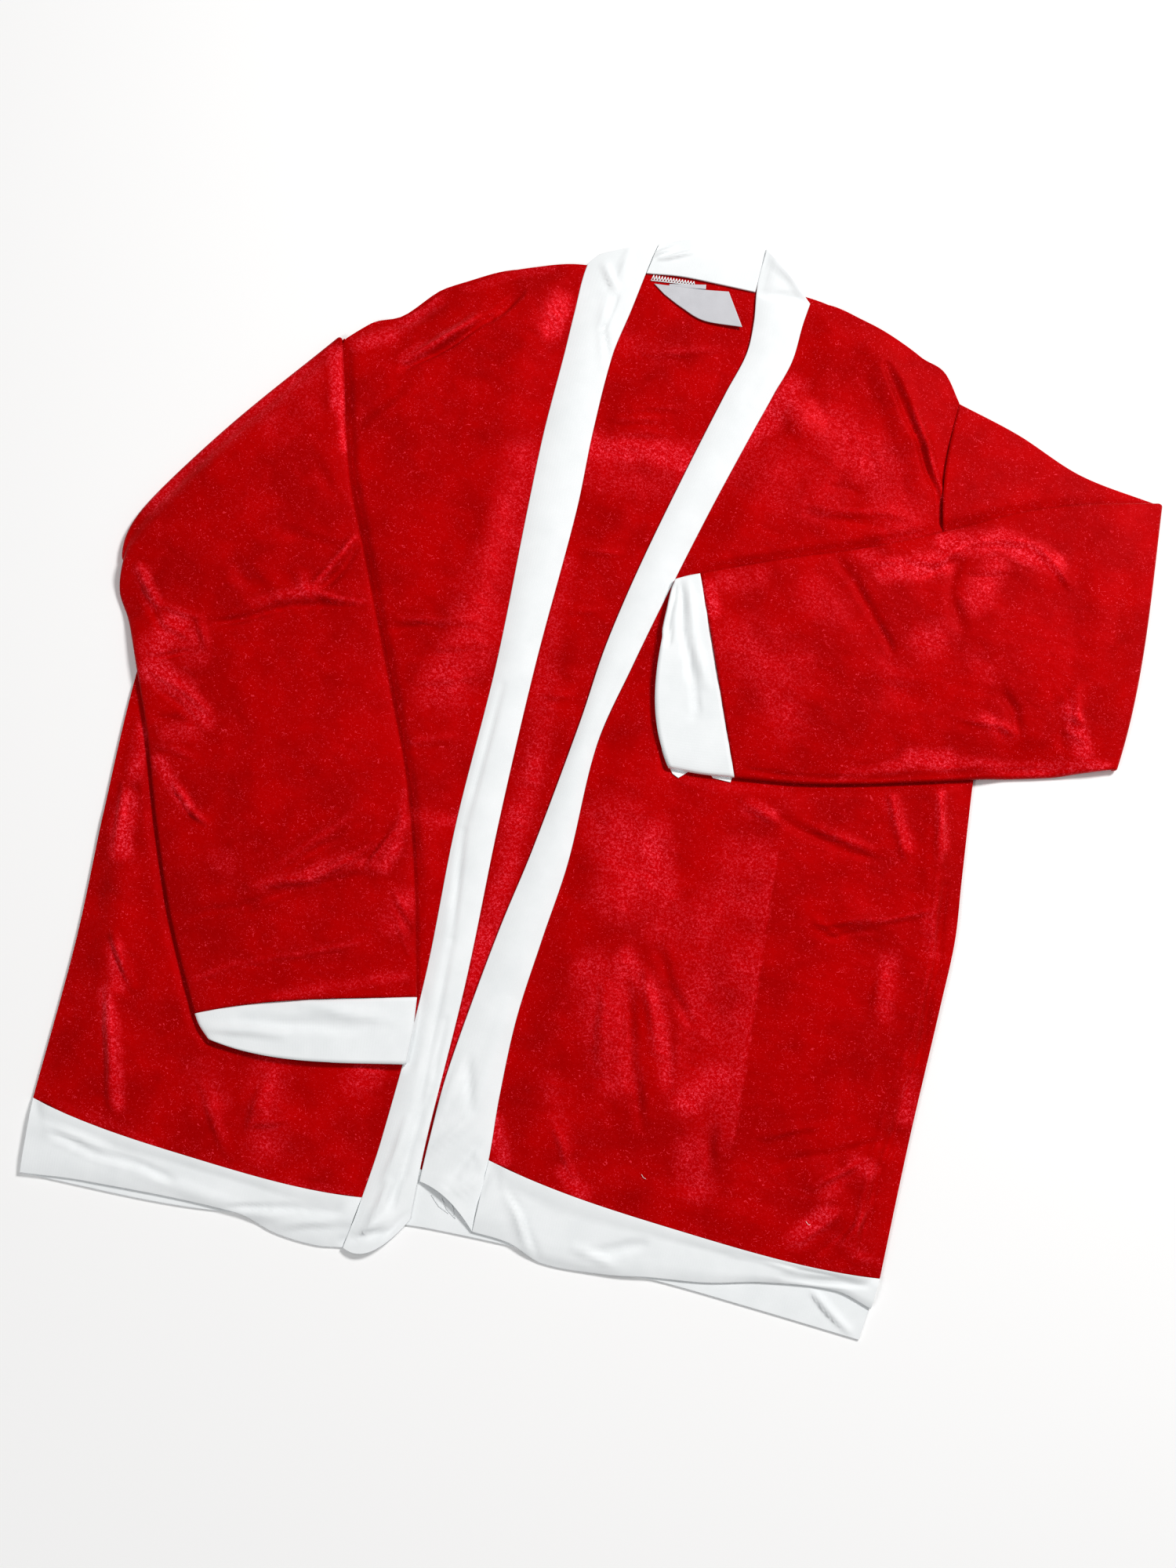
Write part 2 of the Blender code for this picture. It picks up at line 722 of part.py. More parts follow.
def main():
    for old in list(bpy.data.objects):
        bpy.data.objects.remove(old, do_unlink=True)

    felt = cloth_material("red_felt", (0.52, 0.006, 0.010), 0.62)
    knit = cloth_material("white_knit", (0.86, 0.88, 0.89), 0.85)
    woven = cloth_material("label_cloth", (0.78, 0.78, 0.80), 0.70)
    holder = bpy.data.objects.new("jacket", None)
    bpy.context.scene.collection.objects.link(holder)

    right = (RIGHT_EDGE, RIGHT_SEAM)
    left = (LEFT_EDGE, LEFT_SEAM)
    across = (RIGHT_EDGE, LEFT_EDGE)
    add_back(felt, holder)
    add_front("front_right", RIGHT_FRONT_ROWS, right, felt, holder)
    add_front("front_left", LEFT_FRONT_ROWS, left, felt, holder)
    add_hem("hem_back", BACK_ROWS, across, BACK_HEM_EDGE, BACK_Z, [], BACK_CELLS[0], knit, holder)
    add_hem("hem_front_right", RIGHT_FRONT_ROWS, right, RIGHT_HEM_EDGE, FRONT_Z, BAND_FOLDS,
            FRONT_CELLS[0], knit, holder)
    add_hem("hem_front_left", LEFT_FRONT_ROWS, left, LEFT_HEM_EDGE[::-1], FRONT_Z, BAND_FOLDS,
            FRONT_CELLS[0], knit, holder)
    add_band("band_right", RIGHT_BAND, RIGHT_FRONT_ROWS, [424, 419], 1, knit, holder)
    add_band("band_left", LEFT_BAND, LEFT_FRONT_ROWS, [], -1, knit, holder)
    add_strip("collar_back", COLLAR, LABEL_Z, LABEL_Z, COLLAR_CELLS, KNIT, knit, holder)
    add_strip("care_label", CARE_LABEL, LABEL_Z, 0.0, LABEL_CELLS, LABEL, woven, holder)
    add_sleeve("sleeve_right", RIGHT_UNDER, RIGHT_OVER, RIGHT_EDGE, 309, RIGHT_ARMPIT_Y,
               (-0.86, 0.51), RIGHT_STATIONS, felt, holder)
    add_sleeve("sleeve_left", LEFT_UNDER, LEFT_OVER, LEFT_EDGE, 366, LEFT_ARMPIT_Y,
               (1.0, 0.0), LEFT_STATIONS, felt, holder)
    add_cuff("cuff_right", RIGHT_CUFF, knit, holder)
    add_cuff("cuff_left", LEFT_CUFF, knit, holder)

    corners = [piece.matrix_world @ vert.co for piece in holder.children for vert in piece.data.vertices]
    for axis in (0, 1):
        low = min(corner[axis] for corner in corners)
        high = max(corner[axis] for corner in corners)
        holder.location[axis] = -(low + high) / 2


main()
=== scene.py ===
"""Adult santa suit jacket laid flat on its back: felt, knit bands, folds and stitches.

The tables and the sizes in capitals are in millimetres, with X to the wearer's left, Y from hem
to neck and Z up. The meshes are in metres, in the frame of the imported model.
"""

import math
from collections import namedtuple

import bmesh
import bpy
import numpy as np
from mathutils import Matrix, Vector, noise


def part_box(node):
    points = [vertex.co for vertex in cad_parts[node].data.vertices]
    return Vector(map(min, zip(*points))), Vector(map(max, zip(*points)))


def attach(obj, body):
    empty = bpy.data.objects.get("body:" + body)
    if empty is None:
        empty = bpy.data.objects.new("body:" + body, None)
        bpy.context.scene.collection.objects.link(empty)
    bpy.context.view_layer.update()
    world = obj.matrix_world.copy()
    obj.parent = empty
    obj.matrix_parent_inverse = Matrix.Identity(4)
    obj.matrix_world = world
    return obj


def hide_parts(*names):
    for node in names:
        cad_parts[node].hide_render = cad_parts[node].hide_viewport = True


bl_info = {
    "name": "Santa suit jacket",
    "version": (1, 0, 0),
    "blender": (4, 5, 0),
    "location": "3D View > Sidebar > Jacket",
    "description": "Lays out a felt santa suit jacket with knit bands, folds and stitches",
    "category": "Object",
}

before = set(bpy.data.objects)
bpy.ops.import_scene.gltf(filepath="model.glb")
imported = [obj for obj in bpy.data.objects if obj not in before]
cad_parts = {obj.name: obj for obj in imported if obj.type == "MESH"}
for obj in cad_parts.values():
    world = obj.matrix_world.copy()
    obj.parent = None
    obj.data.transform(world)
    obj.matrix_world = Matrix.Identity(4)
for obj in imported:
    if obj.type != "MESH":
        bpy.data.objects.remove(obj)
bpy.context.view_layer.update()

MM = 0.001

# Cloth and seams
FELT = 1.3
KNIT = 1.7
LABEL = 1.0
SEAM = 0.3
# Gap between edges that are sewn edge to edge
BUTT = 0.05
FELT_RIM = 0.4
KNIT_RIM = 0.4
LABEL_RIM = 0.5
# Share of the wall's thickness that is left at its very edge
THINNEST = 0.6

# Layers: back on the floor, fronts on the hem band, folded sleeves on the front bands
BACK_Z = 0.0
FRONT_Z = BACK_Z + KNIT + SEAM
OVER_Z = FRONT_Z + KNIT + SEAM
AIR = FRONT_Z - BACK_Z - FELT
LABEL_Z = BACK_Z + FELT + SEAM
UP = Vector((0.0, 0.0, 1.0))

# Loft of the laid cloth, and the margins over which it settles
FRONT_LOFT = 3.8
SLEEVE_LOFT = 6.2
UPPER_ARM_LOFT = 3.8
CUFF_LOFT = 4.2
BAND_ROLL = 2.6
HEM_ROLL = 2.0
HEM_SIDE = 0.3
HEM_END = 0.05
HEM_JOIN = 0.5
HEM_SETTLE = 8.0
HEM_SHOWS = (1.0, 7.0)
BAND_END = 0.96
STRIP_SWELL = (0.15, 0.85)
STRIP_DROP = 0.55
CUFF_DEPTH = 3.6
LOFT_POWER = 0.4
COVER_MARGIN = (0.5, 9.0)
CREASE_MARGIN = (2.0, 14.0)
DROOP_MARGIN = (3.0, 28.0)
EDGE_TAPER = 30.0
OPENING_TAPER = (4.0, 16.0)
FOLD_END_FADE = 0.4

# Cells of the cloth
PANEL_CELL = 2.4
BACK_CELLS = (5.0, 2.4)
BACK_GATHER = 0.4
BAND_CELL = 2.4
STRIP_CELL = 1.2
COLLAR_CELL = 1.5
FOLD_ANGLES = tuple(range(15, 180, 15))
FOLD_REACH = 0.12
LEAST_RINGS = 8
RIM_STOPS = (0.0, 0.1, 0.35, 0.8)
RIM_END = 1.6
THREAD_SIDES = 5
ARCH_POWER = 3
CORNER_PEAK = 16
CORNER_POWER = 8
FOLD_LINE_POINTS = 7
CUFF_BUTT = 1.5

# Width and length by which each cloth is divided into cells, all round on a tube
SPANS = {
    "back_panel": (650, 760),
    "front_right": (262, 700), "front_left": (300, 700),
    "hem_back": (645, 50), "hem_front_right": (255, 45), "hem_front_left": (300, 45),
    "band_right": (36, 810), "band_left": (34, 800),
    "collar_back": (87, 33), "care_label": (66, 20), "label_tuck": (30, 3.5),
    "sleeve_right": (400, 540), "sleeve_left": (400, 500),
    "cuff_right": (330, 42), "cuff_left": (320, 40),
    "cuff_tip_front": (22, 11), "cuff_tip_back": (22, 11),
}

# Left front corner of the care label, by which these tables are placed in the frame
LABEL_CORNER = (-40.0, 417.0)

Side = namedtuple("Side", "y x")
Band = namedtuple("Band", "outer_y outer_x inner_y inner_x")
Row = namedtuple("Row", "side_y seam_y arch")
Edge = namedtuple("Edge", "x y")
Section = namedtuple("Section", "ax ay bx by bow corner", defaults=(0,))
Strip = namedtuple("Strip", "upper_x upper_y lower_x lower_y lift")
Fold = namedtuple("Fold", "x0 y0 x1 y1 width height")
Crease = namedtuple("Crease", "x0 y0 x1 y1 width height lean", defaults=(0.7,))
Dent = namedtuple("Dent", "x y reach rise")
Light = namedtuple("Light", "name place size energy colour")


def table(kind, rows):
    """Rows of numbers, named by their kind."""
    return [kind(*row) for row in rows]


# Side seams below the armpits and armholes above them
RIGHT_SIDE = table(Side, (
    (-328, -353), (-206, -353), (-114, -358), (-20, -362), (40, -361), (100, -352), (165, -330),
    (240, -298), (309, -270),
))
LEFT_SIDE = table(Side, (
    (-315, 295), (-211, 296), (-105, 299), (-56, 300), (-10, 296), (60, 290), (128, 285),
    (190, 255), (260, 227), (310, 219), (366, 219),
))
RIGHT_ARMPIT_Y = 100
LEFT_ARMPIT_Y = 128
RIGHT_SHOULDER_Y = 309
LEFT_SHOULDER_Y = 366
RIGHT_OUTWARD = (-0.86, 0.51)
LEFT_OUTWARD = (1.0, 0.0)

# Front bands, from hem to neck: the outer edge is the seam, the inner edge is the opening
RIGHT_BAND = table(Band, (
    (-383, -99, -352, -55), (-344, -94, -330, -56), (-297, -90, -290, -57), (-176, -87, -169, -56),
    (-54, -92, -46, -60), (74, -91, 81, -61), (202, -96, 211, -58), (268, -98, 277, -60),
    (336, -97, 344, -59), (370, -97, 383, -53), (413, -96, 426, -47), (424, -89, 444, -44),
))
LEFT_BAND = table(Band, (
    (-350, -8, -323, -55), (-296, -8, -289, -55), (-249, -11, -245, -54), (-189, -12, -185, -48),
    (-127, -7, -122, -40), (-64, -1, -60, -30), (31, 0, 45, -17), (98, 13, 110, -11),
    (148, 24, 175, 0), (235, 45, 262, 19), (306, 64, 333, 36), (341, 74, 368, 45),
    (370, 82, 396, 45), (403, 84, 430, 41), (421, 86, 459, 42),
))

# How far the middle of each band's raw end is below its corners, or above them
BAND_END_BOWS = {"band_right": -13.0, "band_left": 5.5}
BAND_TOPS = {"band_right": 424.0, "band_left": 421.0}

# Rows across each panel, from the shoulder down to the hem seam
RIGHT_FRONT_ROWS = table(Row, (
    (309, 413, 15), (240, 330, 5), (165, 220, 0), (100, 120, 0), (20, 20, 0), (-80, -90, 0),
    (-170, -180, 0), (-250, -265, -3), (-328, -344, -8),
))
LEFT_FRONT_ROWS = table(Row, (
    (366, 421, 17), (300, 340, 5), (210, 235, 0), (128, 140, 0), (50, 50, 0), (-40, -40, 0),
    (-130, -125, 0), (-220, -210, -3), (-315, -296, -9),
))
BACK_ROWS = table(Row, (
    (309, 366, 84), (240, 290, 45), (160, 200, 15), (80, 110, 0), (0, 20, 0), (-110, -90, 0),
    (-220, -210, 0), (-328, -315, 8),
))

# Where the shoulder edge dips or swells off its arch
SHOULDER_DENTS = table(Dent, (
    (-228, 346, 34, -10), (-160, 394, 34, 2), (202, 382, 26, 6), (125, 417, 34, -2),
))

# Lower edges of the hem bands
RIGHT_HEM_EDGE = table(Edge, (
    (-348, -384), (-300, -379), (-183, -376), (-151, -384), (-120, -386), (-99, -383),
))
LEFT_HEM_EDGE = table(Edge, (
    (-8, -350), (21, -352), (48, -361), (98, -358), (126, -353), (170, -347), (212, -337),
    (265, -331), (293, -338),
))
BACK_HEM_EDGE = table(Edge, (
    (-348, -384), (-216, -380), (-100, -362), (-38, -355), (130, -354), (202, -357), (289, -362),
))

# Flat sections of the sleeves: end a is the crown side and end b the underarm side
RIGHT_UNDER = table(Section, (
    (-271.4, 309, -353.4, 100, 0), (-272.5, 307, -394, 90, 14, 10),
))
RIGHT_OVER = table(Section, (
    (-272.5, 307, -394, 90, 14, 10), (-264, 280, -392, 66, 10, 5), (-240, 201, -378, 43, 4),
    (-208, 130, -361, 6, 0), (-163, 31, -340, -42, 0), (-135, -33, -316, -105, 0),
    (-110, -110, -287, -172, 1), (-89, -190, -250, -240, 4),
))
LEFT_UNDER = table(Section, (
    (218.8, 366, 284.8, 128, 0), (270, 351, 320, 119, 0), (325, 329, 358, 108, 0),
    (388, 319, 392, 101, -5),
))
LEFT_OVER = table(Section, (
    (388, 319, 392, 101, -5), (358, 312, 367, 92, -2), (325, 303, 345, 84, 0),
    (281, 286, 300, 72, 0), (225, 257, 250, 58, 0), (167, 230, 205, 46, 0), (109, 208, 160, 36, 0),
    (48, 182, 109, 29, 0),
))
RIGHT_CUFF = table(Section, (
    (-89, -190, -250, -240, 4), (-86, -216, -244, -248, -2), (-85, -241, -235, -256, -7),
))
LEFT_CUFF = table(Section, (
    (48, 182, 109, 29, 0), (39, 178, 84, 26, 6), (30, 173, 58, 25, 12),
))

# Neck part of the band and the label under it
COLLAR = table(Strip, (
    (-43.8, 444, -48, 417, 0), (-14, 456, -20, 420.5, 1), (12, 459, 10, 421, 0.6),
    (41.8, 460, 40.8, 421, 0),
))
CARE_LABEL = table(Strip, (
    (-40, 410, -30, 403, 0), (-20, 412, -14, 395, 0.4), (0, 414, 6, 388, 0.9),
    (20, 417, 37, 389, 2.4),
))
LABEL_TUCK = table(Strip, (
    (-28, 412.5, -28, 410.2, 0), (1, 418.6, 1.6, 414.6, 0.3),
))
# Overlocked raw edge under the neck band, and loose fibres on the cloth
OVERLOCK = Fold(-43, 412.3, -8, 416, 4.6, 0.35)
OVERLOCK_STITCHES = 15
LINT = [
    [(105.8, -280.6), (107.4, -282.4), (109.6, -283.1)],
    [(232.4, -286.6), (234.6, -288.5), (237.4, -287.8)],
    [(-44.0, -330.5), (-36.5, -337.5), (-28.2, -340.9)],
    [(-36.0, -331.0), (-30.5, -338.0), (-22.3, -343.4)],
    [(-30.0, -331.0), (-25.3, -336.9), (-24.0, -341.0)],
]
LINT_WIDTH = 0.4
LOWEST_FRONT_Y = -300.0
# Tips of the left cuff's under layer, which peep out below it
CUFF_TIPS = {
    "cuff_tip_front": [Strip(55, 31, 62, 21.5, 0.0), Strip(79, 32, 67, 19.0, 0.0)],
    "cuff_tip_back": [Strip(85, 34, 93, 25.5, 0.0), Strip(108, 35, 107, 25.0, 0.0)],
}

# Largest folds, as in the solids: ridges rise and troughs sink
BACK_FOLDS = table(Fold, (
    (-40, 300, 30, 345, 26, 1.6), (-40, 150, -12, 260, 18, 1.4), (-44, 20, -34, 110, 12, 1.2),
))
FRONT_FOLDS = table(Fold, (
    (-228, 291, -118, 372, 22, 2.8), (-240, 330, -150, 372, 14, -1.2),
    (-130, 60, -118, 190, 16, 1.6), (-348, -113, -311, -215, 18, 2.8),
    (-330, -180, -300, -300, 18, 2), (-210, -285, -120, -320, 18, 2.2),
    (139, 404, 189, 328, 20, 3), (189, 328, 214, 270, 18, 2.4), (264, 54, 286, -60, 18, 3),
    (290, -80, 280, -200, 18, 2.8), (279, -210, 277, -307, 18, 2.4),
    (204, -229, 279, -301, 18, 2.4), (196, -49, 260, -65, 18, 2), (30, -60, 60, -200, 24, 2.4),
    (80, -290, 230, -296, 14, 1.4),
))
SLEEVE_FOLDS = table(Fold, (
    (-272, 290, -252, 219, 12, 1.2), (-311, 57, -240, 85, 16, -2.2),
    (-240, 85, -199, 98, 12, -1.8), (-330, 100, -236, 128, 22, 1.6), (-360, 17, -326, 30, 14, 1.6),
    (-261, -216, -102, -150, 20, 1.4), (-300, -90, -190, -20, 26, 1),
    (240, 330, 340, 318, 14, 1.2), (139, 216, 202, 153, 18, -2), (350, 290, 372, 130, 22, 1.6),
    (240, 90, 330, 120, 22, 1.4), (110, 110, 190, 90, 20, 1.2),
))
BAND_FOLDS = table(Fold, (
    (15, 111, -1, 31, 8, 1.4), (-82, 60, -85, -58, 4, -1.4), (-85, -58, -74, -142, 4, -2),
    (-74, -142, -66, -321, 4.5, -2.2), (-74, 390, -62, 333, 9, 1.6),
    (-342, -348, -278, -361, 8, 1.2), (-278, -361, -183, -372, 8, 1), (14, -321, 36, -350, 9, 1.4),
    (-30, -300, -20, -180, 9, 1), (60, 330, 78, 372, 8, 1.2),
))

# Creases: one side of each is narrower by its lean, so that it looks turned over
BACK_CREASES = table(Crease, (
    (-42, 300, 8, 312, 5, 0.6), (-50, 290, -5, 300, 5, 0.7), (-46, 279, 0, 290, 5, 0.6),
    (-50, 268, -10, 276, 5, 0.5), (-30, 352, 24, 368, 9, 0.8), (-46, 180, -16, 186, 5, 0.6),
    (-44, 130, -20, 138, 5, 0.6), (-48, 60, -26, 66, 5, 0.6), (-52, 2, -40, 6, 5, 0.5),
    (-53, -13, -41, -7, 6, 0.6), (-53, -26, -42, -19, 5, 0.5), (-55, -34, -37, -35, 4, 0.35),
    (-53, -49, -48, -42, 3.5, 0.45), (-48, -42, -39, -43, 3.5, 0.45),
    (-54, -60, -51, -52, 3, 0.35), (-51, -52, -39, -49, 3, 0.35), (-57, -65, -46, -59, 3.5, 0.45),
    (-57, -73, -43, -67, 3.5, 0.4), (-54, -85, -42, -78, 4, 0.5), (-51, -91, -41, -87, 3, 0.35),
    (-53, -99, -42, -95, 3.5, 0.4), (-53, -109, -43, -104, 3.5, 0.4),
    (-53, -120, -43, -114, 3.5, 0.35),
))
FRONT_CREASES = table(Crease, (
    (-217, 293, -161, 348, 7, -2.2, 0.5), (-161, 348, -140, 374, 6, -1.4, 0.6),
    (-214, 300, -172, 346, 8, 1.4, 0.5), (-250, 240, -211, 288, 12, -1.2, 1),
    (-175, 93, -115, 103, 7, 0.9, 0.6), (-179, 82, -142, 96, 6, -0.9, 0.6),
    (-153, 66, -110, 82, 6, -0.8, 0.6), (-150, 48, -108, 60, 6, 0.7, 0.6),
    (-149, -4, -114, 8, 8, 0.8, 0.6), (-350, -80, -340, -130, 6, 1, 0.6),
    (-325, -197, -303, -232, 6, 1.4, 0.5), (-318, -235, -292, -320, 9, 1.7),
    (-230, -290, -200, -335, 9, 0.9), (-185, -274, -187, -314, 9, 1, 0.8),
    (-188, -311, -161, -299, 6, 0.8, 0.6), (78, 340, 116, 312, 18, 1.4, 1),
    (134, 274, 159, 274, 6, -0.7), (125, 254, 193, 263, 7, 0.9, 0.6),
    (120, 246, 185, 250, 6, -0.7, 0.6), (156, 380, 188, 334, 8, -1.8, 0.6),
    (188, 334, 212, 293, 7, -1.8, 0.6), (212, 293, 226, 258, 5, -1.2, 0.6),
    (181, 353, 200, 324, 7, 1, 0.6), (200, 324, 219, 288, 6, 1.2, 0.6),
    (122, 10, 145, 1, 8, 1.2, 0.6), (48, -150, 58, -210, 9, 1, 0.8),
    (64, -147, 79, -198, 8, -1.4, 0.8), (79, -198, 97, -245, 8, -1.3, 0.8),
    (75, -133, 97, -190, 7, 1.1), (81, -113, 96, -140, 7, -1, 0.8),
    (96, -140, 117, -165, 6, -0.9, 0.8), (108, -170, 118, -215, 8, 0.7, 0.8),
    (147, -231, 152, -262, 8, -1.1, 0.8), (34, -263, 56, -293, 5, 0.9, 0.6),
    (151, 3, 206, -10, 7, -1, 0.6), (206, -10, 230, -10, 5, -0.8, 0.6),
    (179, 3, 223, -3, 6, 0.9, 0.6), (225, 48, 240, 17, 6, 1.2, 0.6), (240, 17, 250, -4, 5, 1, 0.6),
    (265, 54, 277, 1, 6, 1.2, 0.6), (194, -68, 234, -57, 5, 1.2, 0.5),
    (234, -57, 276, -40, 5, 1.1, 0.5), (205, -75, 240, -64, 4.5, -1.2, 0.8),
    (253, -91, 251, -125, 8, 0.9, 0.8), (187, -233, 225, -218, 6, 0.9, 0.6),
    (205, -250, 257, -226, 6, -0.8), (257, -226, 274, -218, 5, -0.8),
    (234, -261, 265, -233, 7, 1.1, 0.6), (229, -303, 253, -277, 6, 1.1, 0.6),
    (248, -306, 268, -280, 5, -0.9, 0.6), (262, -300, 280, -262, 5, 0.9, 0.6),
    (284, -16, 290, -90, 4, -1.6, 1), (290, -90, 289, -161, 4, -1.7, 1),
    (289, -161, 279, -235, 4, -1.5, 1), (279, -235, 277, -300, 4, -1.3, 1),
    (268, 28, 277, -14, 3, 0.5, 1), (277, -14, 283, -72, 3, 0.6, 1),
    (283, -72, 285, -107, 3, 0.5, 1), (285, -107, 275, -180, 3, 0.6, 1),
    (275, -180, 271, -238, 3, 0.5, 1), (271, -238, 271, -304, 3, 0.6, 1),
    (192, -65, 214, -73, 4, 0.6), (214, -73, 240, -65, 4, 0.7),
))
FRONT_PLEATS = table(Crease, (
    (151, 8, 160, -113, 46, 3.6, 0.9), (160, -113, 169, -262, 46, 3.2, 0.8),
))
SLEEVE_CREASES = table(Crease, (
    (-222, 150, -236, 117, 5, 1.8), (-236, 117, -243, 104, 5, 1.4),
    (-216, 147, -224, 124, 5, -2, 0.8), (-224, 124, -237, 103, 5, -2.2, 0.8),
    (-240, 98, -218, 98, 4.5, 1.6, 0.8), (-218, 98, -199, 100, 4, 1.4, 0.8),
    (-290, 78, -240, 100, 10, 1, 1), (-311, 58, -280, 70, 5, -1.4, 0.8),
    (-280, 70, -252, 83, 5, -1.7, 0.8), (-252, 83, -223, 93, 4.5, -1.9, 0.8),
    (-223, 93, -201, 96, 4, -1.7, 0.8), (-308, 104, -278, 85, 12, -1.2, 1),
    (-276, 140, -250, 137, 10, -1, 1), (-250, 137, -224, 137, 8, -1, 1),
    (-262, 197, -248, 180, 8, -0.8, 1), (-259, 109, -242, 93, 8, 0.8, 1),
    (-383, 87, -357, 60, 6, 1.3, 0.6), (-375, 70, -350, 42, 5, -0.9, 0.8),
    (-357, 60, -325, 58, 6, 1, 0.6), (-350, 48, -325, 40, 5, 0.8),
    (-325, 58, -312, 35, 6, 0.8, 0.6), (-355, 20, -320, 30, 5, -1.8, 0.8),
    (-350, 10, -297, -12, 6, 1, 0.6), (-345, -2, -305, -22, 5, -0.8, 0.8),
    (-339, -29, -315, -24, 5, -1.2, 0.8), (-335, -45, -300, -50, 6, 0.8),
    (-311, -76, -295, -88, 5, 1.4, 0.4), (-295, -88, -277, -98, 5, 1.4, 0.4),
    (-240, -125, -195, -70, 9, -0.6, 1), (-223, -127, -168, -62, 8, 0.8, 0.8),
    (-207, -117, -157, -69, 7, -1, 0.8), (-190, -125, -145, -82, 7, 0.9),
    (-134, -38, -132, -66, 5, 1.2), (-132, -66, -149, -101, 5, 1.4, 0.6),
    (-152, -102, -139, -68, 5, -1.2, 0.8), (-233, -137, -182, -119, 7, 1, 0.6),
    (-182, -117, -159, -100, 6, 1, 0.6), (-276, -174, -229, -151, 9, -1.5, 0.8),
    (-229, -151, -186, -126, 8, -1.4, 0.8), (-186, -126, -147, -110, 7, -1.3, 0.8),
    (-127, -115, -106, -140, 4, 0.9, 0.6), (-122, -128, -100, -150, 4, -0.8, 0.8),
    (-118, -140, -97, -165, 4, 0.8, 0.6), (-264, -220, -229, -198, 6, 1, 0.5),
    (-229, -198, -185, -180, 6, 0.9, 0.5), (-185, -180, -135, -157, 6, 0.8, 0.5),
    (145, 219, 165, 200, 9, -1.3, 0.5), (165, 200, 185, 179, 7, -1.3, 0.5),
    (185, 179, 206, 152, 5, -1.1, 0.5), (168, 217, 203, 229, 8, 0.9), (203, 229, 228, 231, 8, 1),
    (228, 231, 246, 250, 7, 1.1), (246, 250, 269, 260, 8, 1.2), (269, 260, 297, 262, 8, 1.2),
    (297, 262, 318, 249, 8, 1.1), (318, 249, 332, 236, 7, 0.9), (218, 216, 232, 226, 7, -1.1, 0.8),
    (232, 226, 244, 236, 7, -1.2, 0.8), (244, 236, 240, 213, 7, -1, 0.8),
    (254, 224, 287, 232, 5, -0.9, 0.8), (242, 208, 256, 183, 8, -1, 0.8),
    (201, 118, 246, 123, 14, -0.9, 1), (296, 140, 308, 127, 7, -1.1, 0.8),
    (308, 127, 314, 110, 7, -1.2, 0.8), (267, 111, 298, 112, 5, 0.9, 0.6),
    (298, 112, 312, 109, 5, 1, 0.6), (340, 140, 350, 108, 8, -0.9, 0.8),
    (352, 153, 363, 111, 9, 1.2, 0.8), (348, 135, 366, 128, 4, 0.7, 0.6),
    (346, 122, 366, 116, 4, 0.7, 0.6), (118, 36, 160, 41, 2.5, -1.8, 1),
    (160, 41, 205, 51, 2.5, -2, 1), (205, 51, 250, 63, 2.5, -2, 1), (250, 63, 300, 77, 2.5, -2, 1),
    (300, 77, 352, 91, 2.5, -1.6, 1),
))
KNIT_CREASES = table(Crease, (
    (-83, 417, -68, 393, 5, 1.2, 0.4), (-68, 393, -64, 432, 5, 1, 0.4),
    (44, 458, 46, 421, 4, -1.2, 0.8), (46, 419, 83, 421, 5, -1.2, 0.6),
    (50, 450, 80, 424, 6, 0.8, 0.8), (-45, 432, -31, 443, 4, 1, 0.6),
    (-38, 431, -15, 442, 4, 1, 0.6), (-42, 426, -25, 431, 3.5, -0.8, 0.8),
    (-338, -345, -290, -350, 6, 0.8), (-330, -350, -297, -357, 6, -1.2),
    (-297, -357, -257, -360, 6, -1.2), (-257, -360, -235, -363, 5, -1),
    (-189, -375, -161, -368, 4, -1.2), (-161, -368, -106, -357, 5, -1.2),
    (-150, -378, -112, -368, 6, 0.8), (-84, -372, -76, -330, 5, 1, 0.6),
    (-80, -330, -74, -280, 5, 0.7), (-72, -349, -68, -316, 4, -1.4),
    (-68, -316, -67, -298, 4, -1.2), (-67, -298, -62, -255, 4, -1.1),
    (-62, -255, -63, -201, 4, -0.9), (-101, -379, -68, -366, 5, -1.2, 0.6),
    (-68, -366, -57, -349, 4, -1.2), (-92, -374, -70, -355, 4, 0.9, 0.6),
    (-58, -290, -42, -226, 6, 1.1, 0.5), (-42, -226, -30, -262, 6, -0.9),
    (-50, -300, -30, -270, 6, 0.9, 0.6), (-34, -322, -20, -285, 5, -0.9),
    (-24, -324, -9, -306, 5, 1, 0.6), (4, -306, 36, -350, 6, 0.9, 0.6),
    (9, -313, 28, -335, 5, -1.3, 0.6), (28, -335, 44, -358, 5, -1.3, 0.6),
    (70, -345, 100, -352, 6, 0.8), (83, -346, 118, -332, 7, -1.2), (150, -318, 230, -322, 7, 0.7),
    (225, -330, 285, -322, 6, -0.8), (33, 172, 45, 131, 4, -1.3, 0.6),
    (45, 131, 64, 87, 4, -1.2, 0.6), (64, 87, 69, 66, 4, -1, 0.6), (40, 172, 54, 131, 5, 0.9),
    (54, 131, 72, 92, 5, 0.9), (30, 168, 32, 144, 3, -1.8, 0.6), (32, 144, 36, 119, 3, -1.6, 0.6),
    (27, 160, 28, 130, 3, 1.2, 0.8), (-67, 405, -71, 365, 3, -1.3, 0.5),
    (-71, 365, -62, 335, 3, -1.3, 0.5), (-7, -300, -9, -322, 4, -0.9, 0.8),
    (-17, -293, -11, -308, 4, 0.9), (-240, -250, -180, -240, 8, 0.9),
    (-215, -238, -120, -222, 9, -0.8), (-170, -215, -100, -212, 8, 0.7),
))
BACK_HEM_CREASES = table(Crease, (
    (244, -332, 279, -359, 5, 1.3, 0.5), (-300, -374, -220, -376, 5, 0.5),
))

